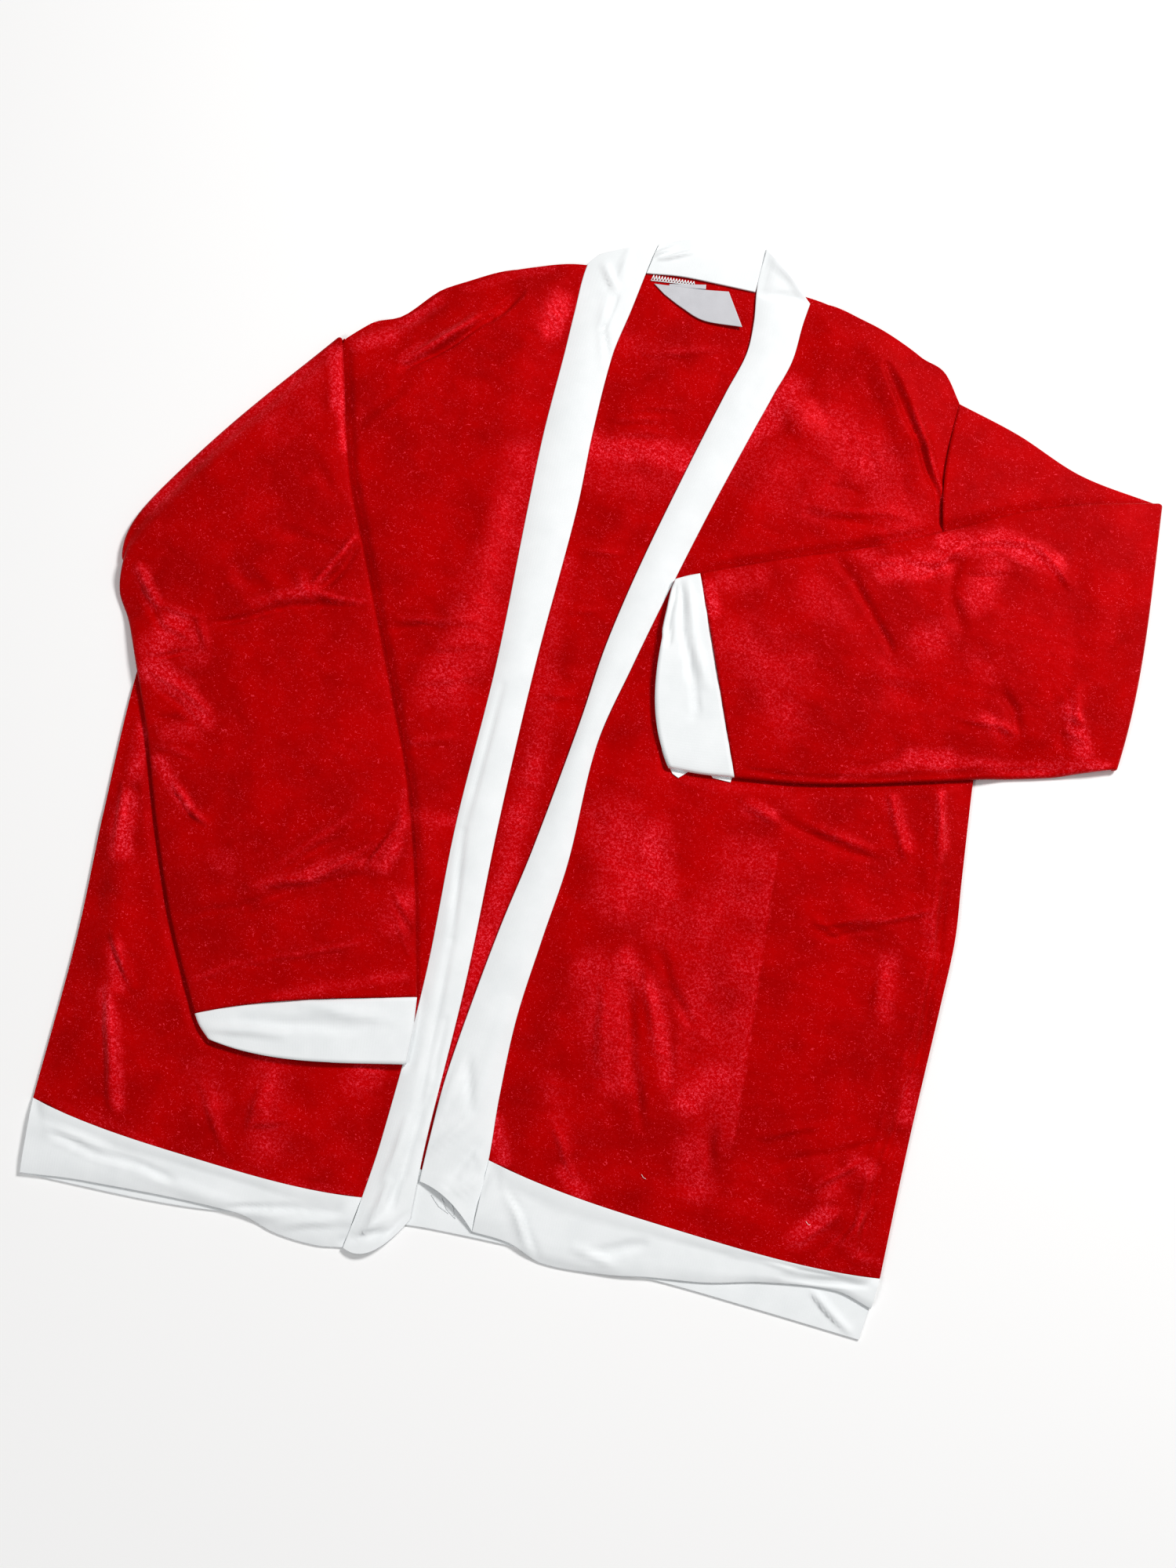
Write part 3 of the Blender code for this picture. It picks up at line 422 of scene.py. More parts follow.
# Where the felt's glaze shows, with its strength as the height: it lowers the roughness and paints
# a lighter red and pale glints into the colour there, a painted highlight
GLAZE = {
    "front_right": table(Fold, (
        (-109, 378, -112, 353, 11, 0.8), (-109, 246, -108, 180, 20, 0.4),
        (-108, 180, -114, 127, 24, 0.4), (-114, 127, -115, 88, 26, 0.45),
        (-114, 85, -128, 46, 24, 0.5), (-261, 307, -235, 320, 8, 0.8),
        (-230, 326, -205, 356, 8, 0.5), (-184, 374, -126, 404, 7, 0.3),
        (-218, 302, -205, 315, 8, 0.4), (-345, -36, -342, -73, 7, 0.8),
        (-342, -92, -337, -132, 9, 1), (-322, -205, -309, -230, 8, 0.8),
        (-318, -238, -302, -280, 7, 0.9), (-302, -280, -289, -319, 6, 0.7),
        (-231, -282, -219, -297, 16, 0.35), (-184, -268, -172, -322, 20, 0.4),
        (-113, -252, -118, -262, 14, 0.5), (-333, -327, -253, -341, 5, 0.25),
        (-221, -348, -107, -343, 5, 0.25), (-130, -56, -93, -53, 6, 0.4),
    )),
    "sleeve_right": table(Fold, (
        (-275, 293, -260, 250, 7, 1), (-260, 250, -248, 218, 4, 0.8),
        (-288, 277, -322, 234, 14, 0.5), (-322, 234, -361, 186, 12, 0.45),
        (-361, 186, -386, 135, 9, 0.5), (-289, 243, -306, 222, 20, 0.3),
        (-377, 84, -360, 61, 7, 0.8), (-351, 29, -341, 50, 13, 0.9), (-328, 37, -319, 27, 14, 0.5),
        (-350, 10, -321, 0, 11, 1), (-321, 0, -298, -20, 9, 0.8), (-324, -35, -305, -31, 8, 0.7),
        (-326, -58, -295, -88, 6, 0.9), (-224, -135, -188, -118, 6, 0.45),
        (-188, -118, -164, -103, 8, 0.6), (-164, -103, -136, -99, 6, 0.5),
        (-136, -99, -131, -79, 6, 0.7), (-131, -79, -130, -61, 5, 0.6),
        (-130, -61, -96, -54, 5, 0.4), (-116, -122, -118, -140, 12, 0.55),
        (-257, -126, -261, -121, 12, 0.3), (-194, -213, -144, -194, 5, 0.35),
        (-144, -194, -100, -176, 5, 0.45),
    )),
    "front_left": table(Fold, (
        (75, 326, 88, 349, 12, 1), (62, 299, 77, 319, 12, 0.7), (89, 336, 116, 328, 12, 0.6),
        (124, 320, 167, 297, 26, 0.45), (167, 297, 198, 254, 22, 0.4),
        (70, 275, 123, 267, 34, 0.3), (28, -26, 47, -71, 26, 0.6), (57, -31, 71, -72, 18, 0.7),
        (125, 8, 144, 5, 8, 0.5), (36, -141, 73, -212, 20, 0.5), (59, -124, 89, -153, 9, 0.7),
        (89, -153, 109, -209, 9, 0.7), (55, -131, 65, -189, 12, 0.5),
        (129, -217, 143, -195, 16, 0.8), (112, -87, 126, -53, 22, 0.4),
        (114, -123, 130, -168, 20, 0.45), (138, -257, 146, -278, 16, 0.5),
        (37, -80, 89, -92, 24, 0.4), (-10, -267, 2, -294, 8, 0.8), (49, -292, 65, -303, 8, 0.7),
        (23, -229, 45, -272, 12, 0.25), (230, 40, 250, 7, 7, 0.5), (267, 52, 277, 13, 5, 0.8),
        (253, -82, 257, -121, 9, 0.55), (200, -70, 207, -65, 10, 0.35),
        (277, -43, 286, -71, 6, 0.45), (287, -168, 290, -197, 8, 0.5),
        (261, -237, 271, -239, 9, 0.7), (230, -301, 245, -279, 9, 0.8),
        (244, -265, 251, -251, 8, 0.5), (195, -229, 205, -220, 10, 0.3),
        (254, -295, 291, -304, 5, 0.3), (77, 17, 149, 28, 6, 0.25),
    )),
    "sleeve_left": table(Fold, (
        (169, 226, 190, 215, 9, 0.7), (190, 215, 230, 231, 11, 0.9), (233, 248, 275, 260, 11, 1),
        (275, 260, 317, 251, 11, 1), (263, 209, 273, 238, 14, 0.6), (231, 166, 242, 175, 16, 0.45),
        (137, 183, 154, 174, 18, 0.35), (95, 132, 128, 120, 30, 0.4), (127, 98, 144, 79, 18, 0.4),
        (57, 171, 65, 154, 8, 0.8), (71, 181, 92, 189, 12, 0.4), (205, 141, 221, 126, 14, 0.3),
        (352, 137, 366, 108, 9, 0.9), (193, 49, 238, 71, 6, 0.5), (240, 74, 267, 79, 9, 0.9),
        (267, 78, 321, 85, 6, 0.5), (321, 85, 386, 102, 6, 0.6), (288, 116, 310, 109, 8, 0.45),
        (62, 140, 81, 93, 8, 0.4), (269, 162, 283, 153, 12, 0.25),
    )),
    "back_panel": table(Fold, (
        (-60, 266, -21, 269, 14, 0.85), (-21, 269, 20, 273, 14, 0.85),
        (-60, 245, 12, 252, 20, 0.35), (-56, 167, -52, 90, 12, 0.3), (-52, 90, -44, 9, 12, 0.4),
        (-44, 9, -46, -67, 12, 0.5), (-46, -67, -49, -130, 11, 0.6),
        (-49, -130, -52, -198, 9, 0.8), (-52, -198, -55, -259, 8, 0.8),
        (-57, 360, -23, 351, 14, 0.25),
    )),
}
RIDGES = {
    "back_panel": BACK_CREASES,
    "front_right": FRONT_CREASES,
    "front_left": FRONT_CREASES,
    "sleeve_right": SLEEVE_CREASES,
    "sleeve_left": SLEEVE_CREASES,
}

# How the creases are drawn: their reach and size of wander, and their depth for a table's height
WANDER = (2.6, 30.0)
CREASE_GAIN = 3.0
PLEAT_CREST = 1.5

# Glaze, whose share also paints a lighter highlight red and glints into the felt's colour: its
# spread about a patch, its unevenness, and its change across the pressed pleat, painted highlight
# before it and painted shade past it
GLAZE_SPREAD = 1.5
GLAZE_SIZE = 24.0
GLAZE_UNEVEN = (0.5, 0.25)
# Painted highlight on the crests of raised creases, given as glaze share
RIDGE_GLAZE_AND_PAINTED_HIGHLIGHT = 2.4
MOST_RIDGE_GLAZE_AND_PAINTED_HIGHLIGHT = 0.5
LEAST_GLAZE = 0.1
# Painted highlight before the pleat and painted shade past it, given as glaze share
PLEAT_GLAZE_AND_PAINTED_HIGHLIGHT = 0.45
PLEAT_PAINTED_HIGHLIGHT_REACH = 80.0
PLEAT_DULL_AND_PAINTED_SHADE = 0.3
PLEAT_PAINTED_SHADE_REACH = (1.6, 1.2)
PLEAT_EDGE = 0.5
PLEAT_TURN = (-1.0, 2.0)
PLEAT_TOP = (2.0, -26.0)
PLEAT_FOOT = (-268.0, -220.0)

# Crinkle of the glazed felt and softness of the knit
CRINKLE_SIZE = (13.0, 6.5)
CRINKLE_PATCH = 90.0
CRINKLE_TURN = 12.0
CALM_SHARE = 0.5
SWELL_SIZE = 70.0
KNIT_RIPPLE_SIZE = 26.0
PUCKER_SIZE = 10.0
PUCKER_REACH = 14.0

# Layers of the noise: each use reads its own, so that no two look alike
WANDER_LAYERS = (3.1, 7.7)
GLAZE_WANDER_LAYERS = (5.3, 9.1)
GLAZE_LAYERS = (2.2, 4.4)
CRINKLE_LAYERS = (17.0, 1.0, 2.0, 5.0)
PUCKER_LAYERS = (21.0, 23.0)
BACK_LAYER = 30.0
HEM_LAYER = 40.0
BAND_LAYER = 50.0
UPPER_ARM_LAYER = 60.0
FOREARM_LAYER = 80.0
CUFF_LAYER = 90.0

# Noise in the cloths' looks: scale, detail, roughness and distortion
FELT_WRINKLE = (230.0, 3.0, 0.65, 0.5)
FELT_GRAIN = (540.0, 4.0, 0.75, 0.6)
FELT_FIBRE = (330.0, 1.0, 0.5, 3.0)
FELT_CLOUD = (26.0, 3.0, 0.55)
KNIT_NAP = (700.0, 3.0, 0.7)
KNIT_CLOUD = (38.0, 3.0, 0.55)
LABEL_CLOUD = (60.0, 2.0)
# Ranges in the cloths' looks: low and high of what is read, then low and high of what it gives
CLOUD_TO_RED = (0.35, 0.65, 0.0, 1.0)
# Shine to the painted highlight red, and grain and shine to the painted glints
SHINE_TO_PAINTED_SHEEN = (0.1, 0.8, 0.0, 0.75)
GRAIN_TO_PAINTED_GLINT = (0.5, 0.64, 0.0, 1.0)
SHINE_TO_PAINTED_GLINT = (0.08, 0.9, 0.02, 1.0)
FIBRE_TO_GLINT = (0.66, 0.7, 0.0, 0.5)
SPECK_TO_GLINT = (0.03, 0.09, 0.6, 0.0)
SHINE_TO_WRINKLE = (0.0, 0.8, 0.5, 1.0)
SHINE_TO_GRAIN = (0.0, 0.8, 0.25, 0.6)
SHINE_TO_ROUGHNESS = (0.0, 0.8, 0.55, 0.3)
CLOUD_TO_WHITE = (0.3, 0.7, 0.55, 1.0)
CLOUD_TO_LABEL = (0.3, 0.7, 0.0, 1.0)
LABEL_SHADE = 0.9

# Stage
LIGHTS = table(Light, (
    ("key", (1.3, 1.7, 2.3), 0.8, 72.0, (1.0, 0.99, 0.98)),
    ("fill", (-1.3, -1.9, 2.3), 1.0, 20.0, (1.0, 1.0, 1.0)),
    ("flash", (0.1, 0.2, 3.2), 0.8, 5.0, (1.0, 1.0, 1.0)),
))
WORLD_STRENGTH = 0.19
FLOOR_SIZE = 6.0
FLOOR_DROP = 0.2

# Camera: where the photo looks from
CAMERA_AZIMUTH = 13.0
CAMERA_ELEVATION = 80.0
CAMERA_DISTANCE = 1.684
CAMERA_LENS = 50.0
CAMERA_SENSOR = 36.0


# Settings


def length(name, description, default, high, low=0.0):
    """Setting of a length, given in millimetres."""
    return bpy.props.FloatProperty(
        name=name, description=description, default=default * MM, min=low * MM, max=high * MM,
        unit="LENGTH", precision=5)


def colour(name, description, *shade):
    """Setting of a colour without transparency."""
    return bpy.props.FloatVectorProperty(
        name=name, description=description, subtype="COLOR", size=4, default=(*shade, 1.0),
        min=0.0, max=1.0)


class JacketSizes(bpy.types.PropertyGroup):
    """Sizes of the cloth's finer relief"""

    crinkle_depth: length("Crinkle depth", "Depth of the felt's fine crinkles", 0.7, 1.5)
    swell_depth: length("Swell depth", "Depth of the felt's broad unevenness", 0.9, 3.0)
    pucker_depth: length("Pucker depth", "Depth of the puckers along the seams", 0.35, 1.0)
    knit_ripple: length(
        "Knit ripple", "Depth of the soft unevenness of the knit bands", 0.35, 1.0)
    thread_width: length(
        "Thread width", "Thickness of the sewing thread that shows", 0.8, 1.5, low=0.2)


class JacketColours(bpy.types.PropertyGroup):
    """Colours of the cloths, the thread and the floor"""

    felt: colour("Felt", "Red of the felt", 0.46, 0.0, 0.0)
    felt_shade: colour("Felt shade", "Deeper red between the crinkles", 0.36, 0.0, 0.0)
    glaze: colour("Glaze", "Tint of the felt's glaze", 1.0, 0.03, 0.06)
    # Painted highlight: lighter red mixed into the felt's colour where the glaze share is high
    painted_sheen: colour("Sheen", "Lighter red of the glazed felt", 0.62, 0.002, 0.006)
    # Painted glints: pale red specks where the glaze share is high; the real pale fibres and
    # specks use the same red
    painted_glint: colour("Glint", "Pale red of the glazed fibres", 0.95, 0.08, 0.12)
    knit: colour("Knit", "White of the knit bands", 0.86, 0.88, 0.89)
    knit_shade: colour("Knit shade", "Greyer white between the stitches", 0.74, 0.77, 0.78)
    label: colour("Label", "Greyish white of the care label", 0.57, 0.57, 0.6)
    floor: colour("Floor", "Pale floor", 0.95, 0.95, 0.95)


# Curves and distances, all on arrays of plan points


class Curve:
    """Smooth curve through pairs of key and value."""

    def __init__(self, keys, values):
        order = np.argsort(keys)
        self.keys = np.array(keys, float)[order]
        self.values = np.array(values, float)[order]
        low = np.maximum(np.arange(len(keys)) - 1, 0)
        high = np.minimum(np.arange(len(keys)) + 1, len(keys) - 1)
        rise = self.values[high] - self.values[low]
        self.slopes = rise / (self.keys[high] - self.keys[low])

    def __call__(self, at):
        last = len(self.keys) - 2
        index = np.clip(np.searchsorted(self.keys, at, side="right") - 1, 0, last)
        span = self.keys[index + 1] - self.keys[index]
        share = np.clip((at - self.keys[index]) / span, 0.0, 1.0)
        square, cube = share**2, share**3
        start, end = self.values[index], self.values[index + 1]
        rise = (cube - 2 * square + share) * self.slopes[index]
        fall = (cube - square) * self.slopes[index + 1]
        return start + (3 * square - 2 * cube) * (end - start) + (rise + fall) * span


def keyed(rows, key, value):
    """Curve of one column over another column."""
    return Curve([getattr(row, key) for row in rows], [getattr(row, value) for row in rows])


def spread(rows, value):
    """Curve of one column over the rows, from 0 at the first to 1 at the last."""
    return Curve(np.linspace(0.0, 1.0, len(rows)), [getattr(row, value) for row in rows])


def mix(start, end, share):
    """Value at a share of the way from start to end."""
    return start + (end - start) * share


def step(low, high, at):
    """Smooth rise from 0 at low to 1 at high."""
    share = np.clip((at - low) / (high - low), 0.0, 1.0)
    return share * share * (3 - 2 * share)


def from_segment(start, end, x, y):
    """Distance to a segment, how far along it the nearest point is, and which side it is on."""
    run_x, run_y = end[0] - start[0], end[1] - start[1]
    along = ((x - start[0]) * run_x + (y - start[1]) * run_y) / (run_x**2 + run_y**2)
    share = np.clip(along, 0.0, 1.0)
    off_x, off_y = x - start[0] - run_x * share, y - start[1] - run_y * share
    return np.hypot(off_x, off_y), share, run_x * off_y - run_y * off_x


def clearance(outline, x, y):
    """Distance from an outline, negative inside it."""
    nearest = np.full(np.shape(x), np.inf)
    inside = np.zeros(np.shape(x), bool)
    for start, end in zip(outline, outline[1:] + outline[:1]):
        nearest = np.minimum(nearest, from_segment(start, end, x, y)[0])
        crosses = (start[1] > y) != (end[1] > y)
        rise = end[1] - start[1] or 1.0
        inside ^= crosses & (x < mix(start[0], end[0], (y - start[1]) / rise))
    return np.where(inside, -nearest, nearest)


def relief(folds, x, y):
    """Height of the folds that pass a point."""
    height = np.zeros(np.shape(x))
    for fold in folds:
        off, share, side = from_segment((fold.x0, fold.y0), (fold.x1, fold.y1), x, y)
        width = np.where(side < 0, fold.width * getattr(fold, "lean", 1.0), fold.width)
        fade = mix(FOLD_END_FADE, 1.0, np.sin(math.pi * share))
        near = np.clip(1 - (off / width) ** 2, 0.0, 1.0)
        height += fold.height * fade * near**2
    return height


def drift(x, y, size, layer, stretch=1.0):
    """Soft noise from -1 to 1; size is its scale and stretch widens it along X."""
    return np.array([
        noise.noise((across / (size * stretch), down / size, layer))
        for across, down in zip(np.ravel(x).tolist(), np.ravel(y).tolist())
    ]).reshape(np.shape(x))


def pleats(rows, x, y):
    """Relief of pressed pleats, which slope evenly down from a sharp crest."""
    height = np.zeros(np.shape(x))
    for fold in rows:
        off, _, side = from_segment((fold.x0, fold.y0), (fold.x1, fold.y1), x, y)
        width = np.where(side < 0, fold.width * fold.lean, fold.width)
        slope = np.clip(1 - np.hypot(off, PLEAT_CREST) / width, 0.0, 1.0)
        height = np.maximum(height, fold.height * slope * slope * (2 - slope))
    return height


def wander(x, y, layers):
    """Plan point moved softly aside, so that what is drawn there leaves its straight line."""
    reach, size = WANDER
    return x + reach * drift(x, y, size, layers[0]), y + reach * drift(x, y, size, layers[1])


def creases(rows, x, y):
    """Relief of the listed creases, which wander off their straight lines."""
    return CREASE_GAIN * relief(rows, *wander(x, y, WANDER_LAYERS))


def glaze(node, x, y):
    """Share of glaze on a felt piece, from 0 for dull to 1 for shiny, which also places the
    painted highlight red and painted glints in its colour.
    """
    shine = np.zeros(np.shape(x))
    bent_x, bent_y = wander(x, y, GLAZE_WANDER_LAYERS)
    for patch in GLAZE[node]:
        off = from_segment((patch.x0, patch.y0), (patch.x1, patch.y1), bent_x, bent_y)[0]
        near = np.clip(1 - (off / (GLAZE_SPREAD * patch.width)) ** 2, 0.0, 1.0)
        shine = np.maximum(shine, patch.height * near**2)
    # Painted highlight: more glaze share, and so a lighter red, on the crests of raised creases
    ridges = [row for row in RIDGES[node] if row.height > 0]
    crest = np.clip(relief(ridges, bent_x, bent_y) / RIDGE_GLAZE_AND_PAINTED_HIGHLIGHT, 0.0, MOST_RIDGE_GLAZE_AND_PAINTED_HIGHLIGHT)
    uneven = (1 + GLAZE_UNEVEN[0] * drift(x, y, GLAZE_SIZE, GLAZE_LAYERS[0])
              + GLAZE_UNEVEN[1] * drift(x, y, GLAZE_SIZE / 3, GLAZE_LAYERS[1]))
    shine = np.maximum(np.maximum(shine, crest), LEAST_GLAZE)
    # Across the front pleat: a painted highlight before it and painted shade past it
    if node == "front_left":
        for pleat in FRONT_PLEATS:
            off, _, side = from_segment((pleat.x0, pleat.y0), (pleat.x1, pleat.y1), x, y)
            signed = np.copysign(off, side)
            ends = step(*PLEAT_TOP, y) * step(*PLEAT_FOOT, y)
            before = PLEAT_GLAZE_AND_PAINTED_HIGHLIGHT * step(PLEAT_PAINTED_HIGHLIGHT_REACH, 0.0, off)
            shine = np.maximum(shine, ends * np.where(signed < PLEAT_EDGE, before, 0.0))
            dull_and_painted_shade_side = step(*PLEAT_TURN, signed) * step(*PLEAT_PAINTED_SHADE_REACH, off / pleat.width)
            shine = shine * mix(1.0, PLEAT_DULL_AND_PAINTED_SHADE, ends * dull_and_painted_shade_side)
    return np.clip(shine * uneven, 0.0, 1.0)


def crinkle(node, x, y, sizes, layer=0.0):
    """Fine crinkles and swells of glazed felt, strongest where it shines, in millimetres."""
    long, short = CRINKLE_SIZE
    of_turn, of_fine, of_finer, of_swell = (layer + own for own in CRINKLE_LAYERS)
    turn = CRINKLE_TURN * drift(x, y, CRINKLE_PATCH, of_turn)
    across, down = x + turn, y + turn
    fine = drift(across, down, short, of_fine, long / short)
    finer = drift(across, down, short / 2, of_finer, long / short)
    swell = drift(x, y, SWELL_SIZE, of_swell)
    depth = sizes.crinkle_depth * mix(CALM_SHARE, 1.0, glaze(node, x, y))
    return (depth * (fine + finer / 2) + sizes.swell_depth * swell) / MM


RIGHT_EDGE = keyed(RIGHT_SIDE, "y", "x")
LEFT_EDGE = keyed(LEFT_SIDE, "y", "x")
RIGHT_SEAM = keyed(RIGHT_BAND, "outer_y", "outer_x")
LEFT_SEAM = keyed(LEFT_BAND, "outer_y", "outer_x")


def section_outline(rows):
    """Outline in plan of a run of flat sections."""
    return [(row.ax, row.ay) for row in rows] + [(row.bx, row.by) for row in reversed(rows)]


def section_line(rows, share, t):
    """Plan point on a flat section: t runs from the crown side to the underarm side.

    The bow off the straight line leans toward the underarm side, and the corner swells it only
    close to its underarm end.
    """
    ax, ay, bx, by, bow, corner = (spread(rows, field)(share) for field in Section._fields)
    arc = bow * 4 * t * (1 - t) * (0.5 + t)
    arc = arc + corner * CORNER_PEAK * t**CORNER_POWER * (1 - t)
    arc = arc / np.hypot(bx - ax, by - ay)
    return mix(ax, bx, t) + (by - ay) * arc, mix(ay, by, t) - (bx - ax) * arc


def lower_stretch(side_rows, armpit_y, over):
    """Outline in plan of a sleeve from its armhole to its fold line."""
    armhole = [(row.x, row.y) for row in side_rows if row.y >= armpit_y]
    shares = np.linspace(0.0, 1.0, FOLD_LINE_POINTS)
    return armhole + [section_line(over, 0.0, share) for share in shares]


COVERS = [
    section_outline(RIGHT_OVER + RIGHT_CUFF[1:]),
    section_outline(LEFT_OVER + LEFT_CUFF[1:]),
]
SUPPORTS = [
    [(row.x, row.y) for row in RIGHT_SIDE + LEFT_SIDE[::-1]],
    lower_stretch(RIGHT_SIDE, RIGHT_ARMPIT_Y, RIGHT_OVER),
    lower_stretch(LEFT_SIDE, LEFT_ARMPIT_Y, LEFT_OVER),
]
OPENING = [(row.inner_x, row.inner_y) for row in RIGHT_BAND[2:-1] + LEFT_BAND[:1:-1]]


def uncovered(x, y, margin=COVER_MARGIN):
    """0 under a folded sleeve, rising to 1 clear of it."""
    return step(*margin, np.minimum(*[clearance(outline, x, y) for outline in COVERS]))


def droop(x, y):
    """How far a sleeve sinks to the floor past what carries it."""
    off = np.min([clearance(outline, x, y) for outline in SUPPORTS], axis=0)
    return (OVER_Z - BACK_Z) * step(*DROOP_MARGIN, off)


# Meshes


def row_shift():
    """From the tables' origin to the frame's, in millimetres."""
    low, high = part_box("care_label")
    return low.x / MM - LABEL_CORNER[0], high.y / MM - LABEL_CORNER[1]


def stops(length, cell, rim):
    """Shares along a side: close together on the rounded rims and even between them."""
    near = np.array(RIM_STOPS) * rim / length
    start = RIM_END * rim / length
    middle = np.linspace(start, 1 - start, max(int(length / cell), 2))
    return np.concatenate([near, middle, 1 - near[::-1]])


def cloth_grid(across, down, width, length):
    """Grid whose columns and rows fall on the given shares, with the cloth's own UV in metres."""
    cloth = bmesh.new()
    bmesh.ops.create_grid(cloth, x_segments=len(across) - 1, y_segments=len(down) - 1, size=0.5)
    flat = np.array([vert.co[:2] for vert in cloth.verts]) + 0.5
    u = across[np.rint(flat[:, 0] * (len(across) - 1)).astype(int)]
    v = down[np.rint(flat[:, 1] * (len(down) - 1)).astype(int)]
    places = np.stack([u * width * MM, v * length * MM], axis=1).tolist()
    layer = cloth.loops.layers.uv.new("cloth")
    for face in cloth.faces:
        for loop in face.loops:
            loop[layer].uv = places[loop.vert.index]
    return cloth, u, v


def set_points(verts, points):
    """Moves the vertices to the rows of an array."""
    for vert, point in zip(verts, points.tolist()):
        vert.co = point


def add_piece(node, cloth, material, slot, extra=False):
    """Object of a finished bmesh in millimetres, which stands for a solid unless it is extra."""
    name = node if extra else node + "_cloth"
    shift = row_shift()
    plan = np.array([vert.co[:2] for vert in cloth.verts])
    bmesh.ops.translate(cloth, vec=(shift[0], shift[1], 0.0), verts=cloth.verts[:])
    bmesh.ops.scale(cloth, vec=(MM, MM, MM), verts=cloth.verts[:])
    mesh = bpy.data.meshes.new(name)
    cloth.to_mesh(mesh)
    cloth.free()
    mesh.materials.append(material)
    mesh.shade_smooth()
    # The glaze share also places the painted highlight red and painted glints in the felt's colour
    if slot == "red_felt":
        shine = mesh.attributes.new("glaze", "FLOAT", "POINT")
        shine.data.foreach_set("value", glaze(node, plan[:, 0], plan[:, 1]).astype(np.float32))
    piece = bpy.data.objects.new(name, mesh)
    bpy.context.scene.collection.objects.link(piece)
    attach(piece, "root")
    if not extra:
        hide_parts(node)
    return piece


def add_thread(thread, start, end, width):
    """Straight length of thread in a bmesh, closed at both ends."""
    run = Vector(end) - Vector(start)
    turn = run.to_track_quat("Z", "Y").to_matrix().to_4x4()
    middle = Matrix.Translation((Vector(start) + Vector(end)) / 2)
    bmesh.ops.create_cone(thread, cap_ends=True, segments=THREAD_SIDES, radius1=width / 2,
                          radius2=width / 2, depth=run.length + width / 2,
                          matrix=middle @ turn)


def rim_round(u, v, width, length, rim):
    """Share of the full thickness near the four rims."""
    edge = np.minimum(np.minimum(u, 1 - u) * width, np.minimum(v, 1 - v) * length)
    return mix(THINNEST, 1.0, np.sqrt(1 - (1 - np.clip(edge / rim, 0.0, 1.0)) ** 2))


def add_flat(name, place, cell, wall, rim, material, slot, extra=False, gather=0.0):
    """Cloth wall: a grid laid by place(u, v) as its underside, then thickened upwards.

    A gather above 0 packs the columns closer toward the middle.
    """
    width, length = SPANS[name]
    across = stops(width, cell[0], rim)
    across += gather * np.sin(2 * math.pi * across) / (2 * math.pi)
    cloth, u, v = cloth_grid(across, stops(length, cell[1], rim), width, length)
    x, y, z = place(u, v)
    set_points(cloth.verts, np.stack([x, y, z], axis=1))
    heights = cloth.verts.layers.float.new("height")
    for vert, height in zip(cloth.verts, (wall * rim_round(u, v, width, length, rim)).tolist()):
        vert[heights] = height
    raised = bmesh.ops.extrude_face_region(cloth, geom=cloth.faces[:])
    for item in raised["geom"]:
        if isinstance(item, bmesh.types.BMVert):
            item.co.z += item[heights]
    cloth.verts.layers.float.remove(heights)
    bmesh.ops.recalc_face_normals(cloth, faces=cloth.faces[:])
    return add_piece(name, cloth, material, slot, extra)


def add_tube(name, rings, wall, material, slot):
    """Tube from closed rings of points, with its wall inside it."""
    width, length = SPANS[name]
    around = np.linspace(0.0, 1.0, rings.shape[1] + 1)
    down = np.linspace(0.0, 1.0, rings.shape[0])
    closed = np.concatenate([rings, rings[:, :1]], axis=1)
    cloth, u, v = cloth_grid(around, down, width, length)
    column = np.rint(u * (len(around) - 1)).astype(int)
    row = np.rint(v * (len(down) - 1)).astype(int)
    set_points(cloth.verts, closed[row, column])
    bmesh.ops.remove_doubles(cloth, verts=cloth.verts[:], dist=SEAM / 100)
    bmesh.ops.recalc_face_normals(cloth, faces=cloth.faces[:])
    piece = add_piece(name, cloth, material, slot)
    inside = piece.modifiers.new("wall", "SOLIDIFY")
    inside.thickness = wall * MM
    inside.offset = -1.0
    return piece


# Panels


def panel_point(rows, sides, u, v):
    """Plan point of a panel: u runs across between its two side curves, v down its rows."""
    side_y = spread(rows, "side_y")(v)
    seam_y = spread(rows, "seam_y")(v)
    arch = spread(rows, "arch")(v) * (1 - np.abs(2 * u - 1) ** ARCH_POWER)
    x = mix(sides[0](side_y), sides[1](seam_y), u)
    y = mix(side_y, seam_y, u) + arch
    for dent in SHOULDER_DENTS:
        y = y + dent.rise * (1 - step(0.0, dent.reach, np.hypot(x - dent.x, y - dent.y)))
    return x, y


def pucker(edge, along, sizes, layer):
    """Small puckers that run off a seam."""
    near = np.clip(1 - edge / PUCKER_REACH, 0.0, 1.0) ** 2
    return near * drift(along, edge, PUCKER_SIZE, layer) * sizes.pucker_depth / MM


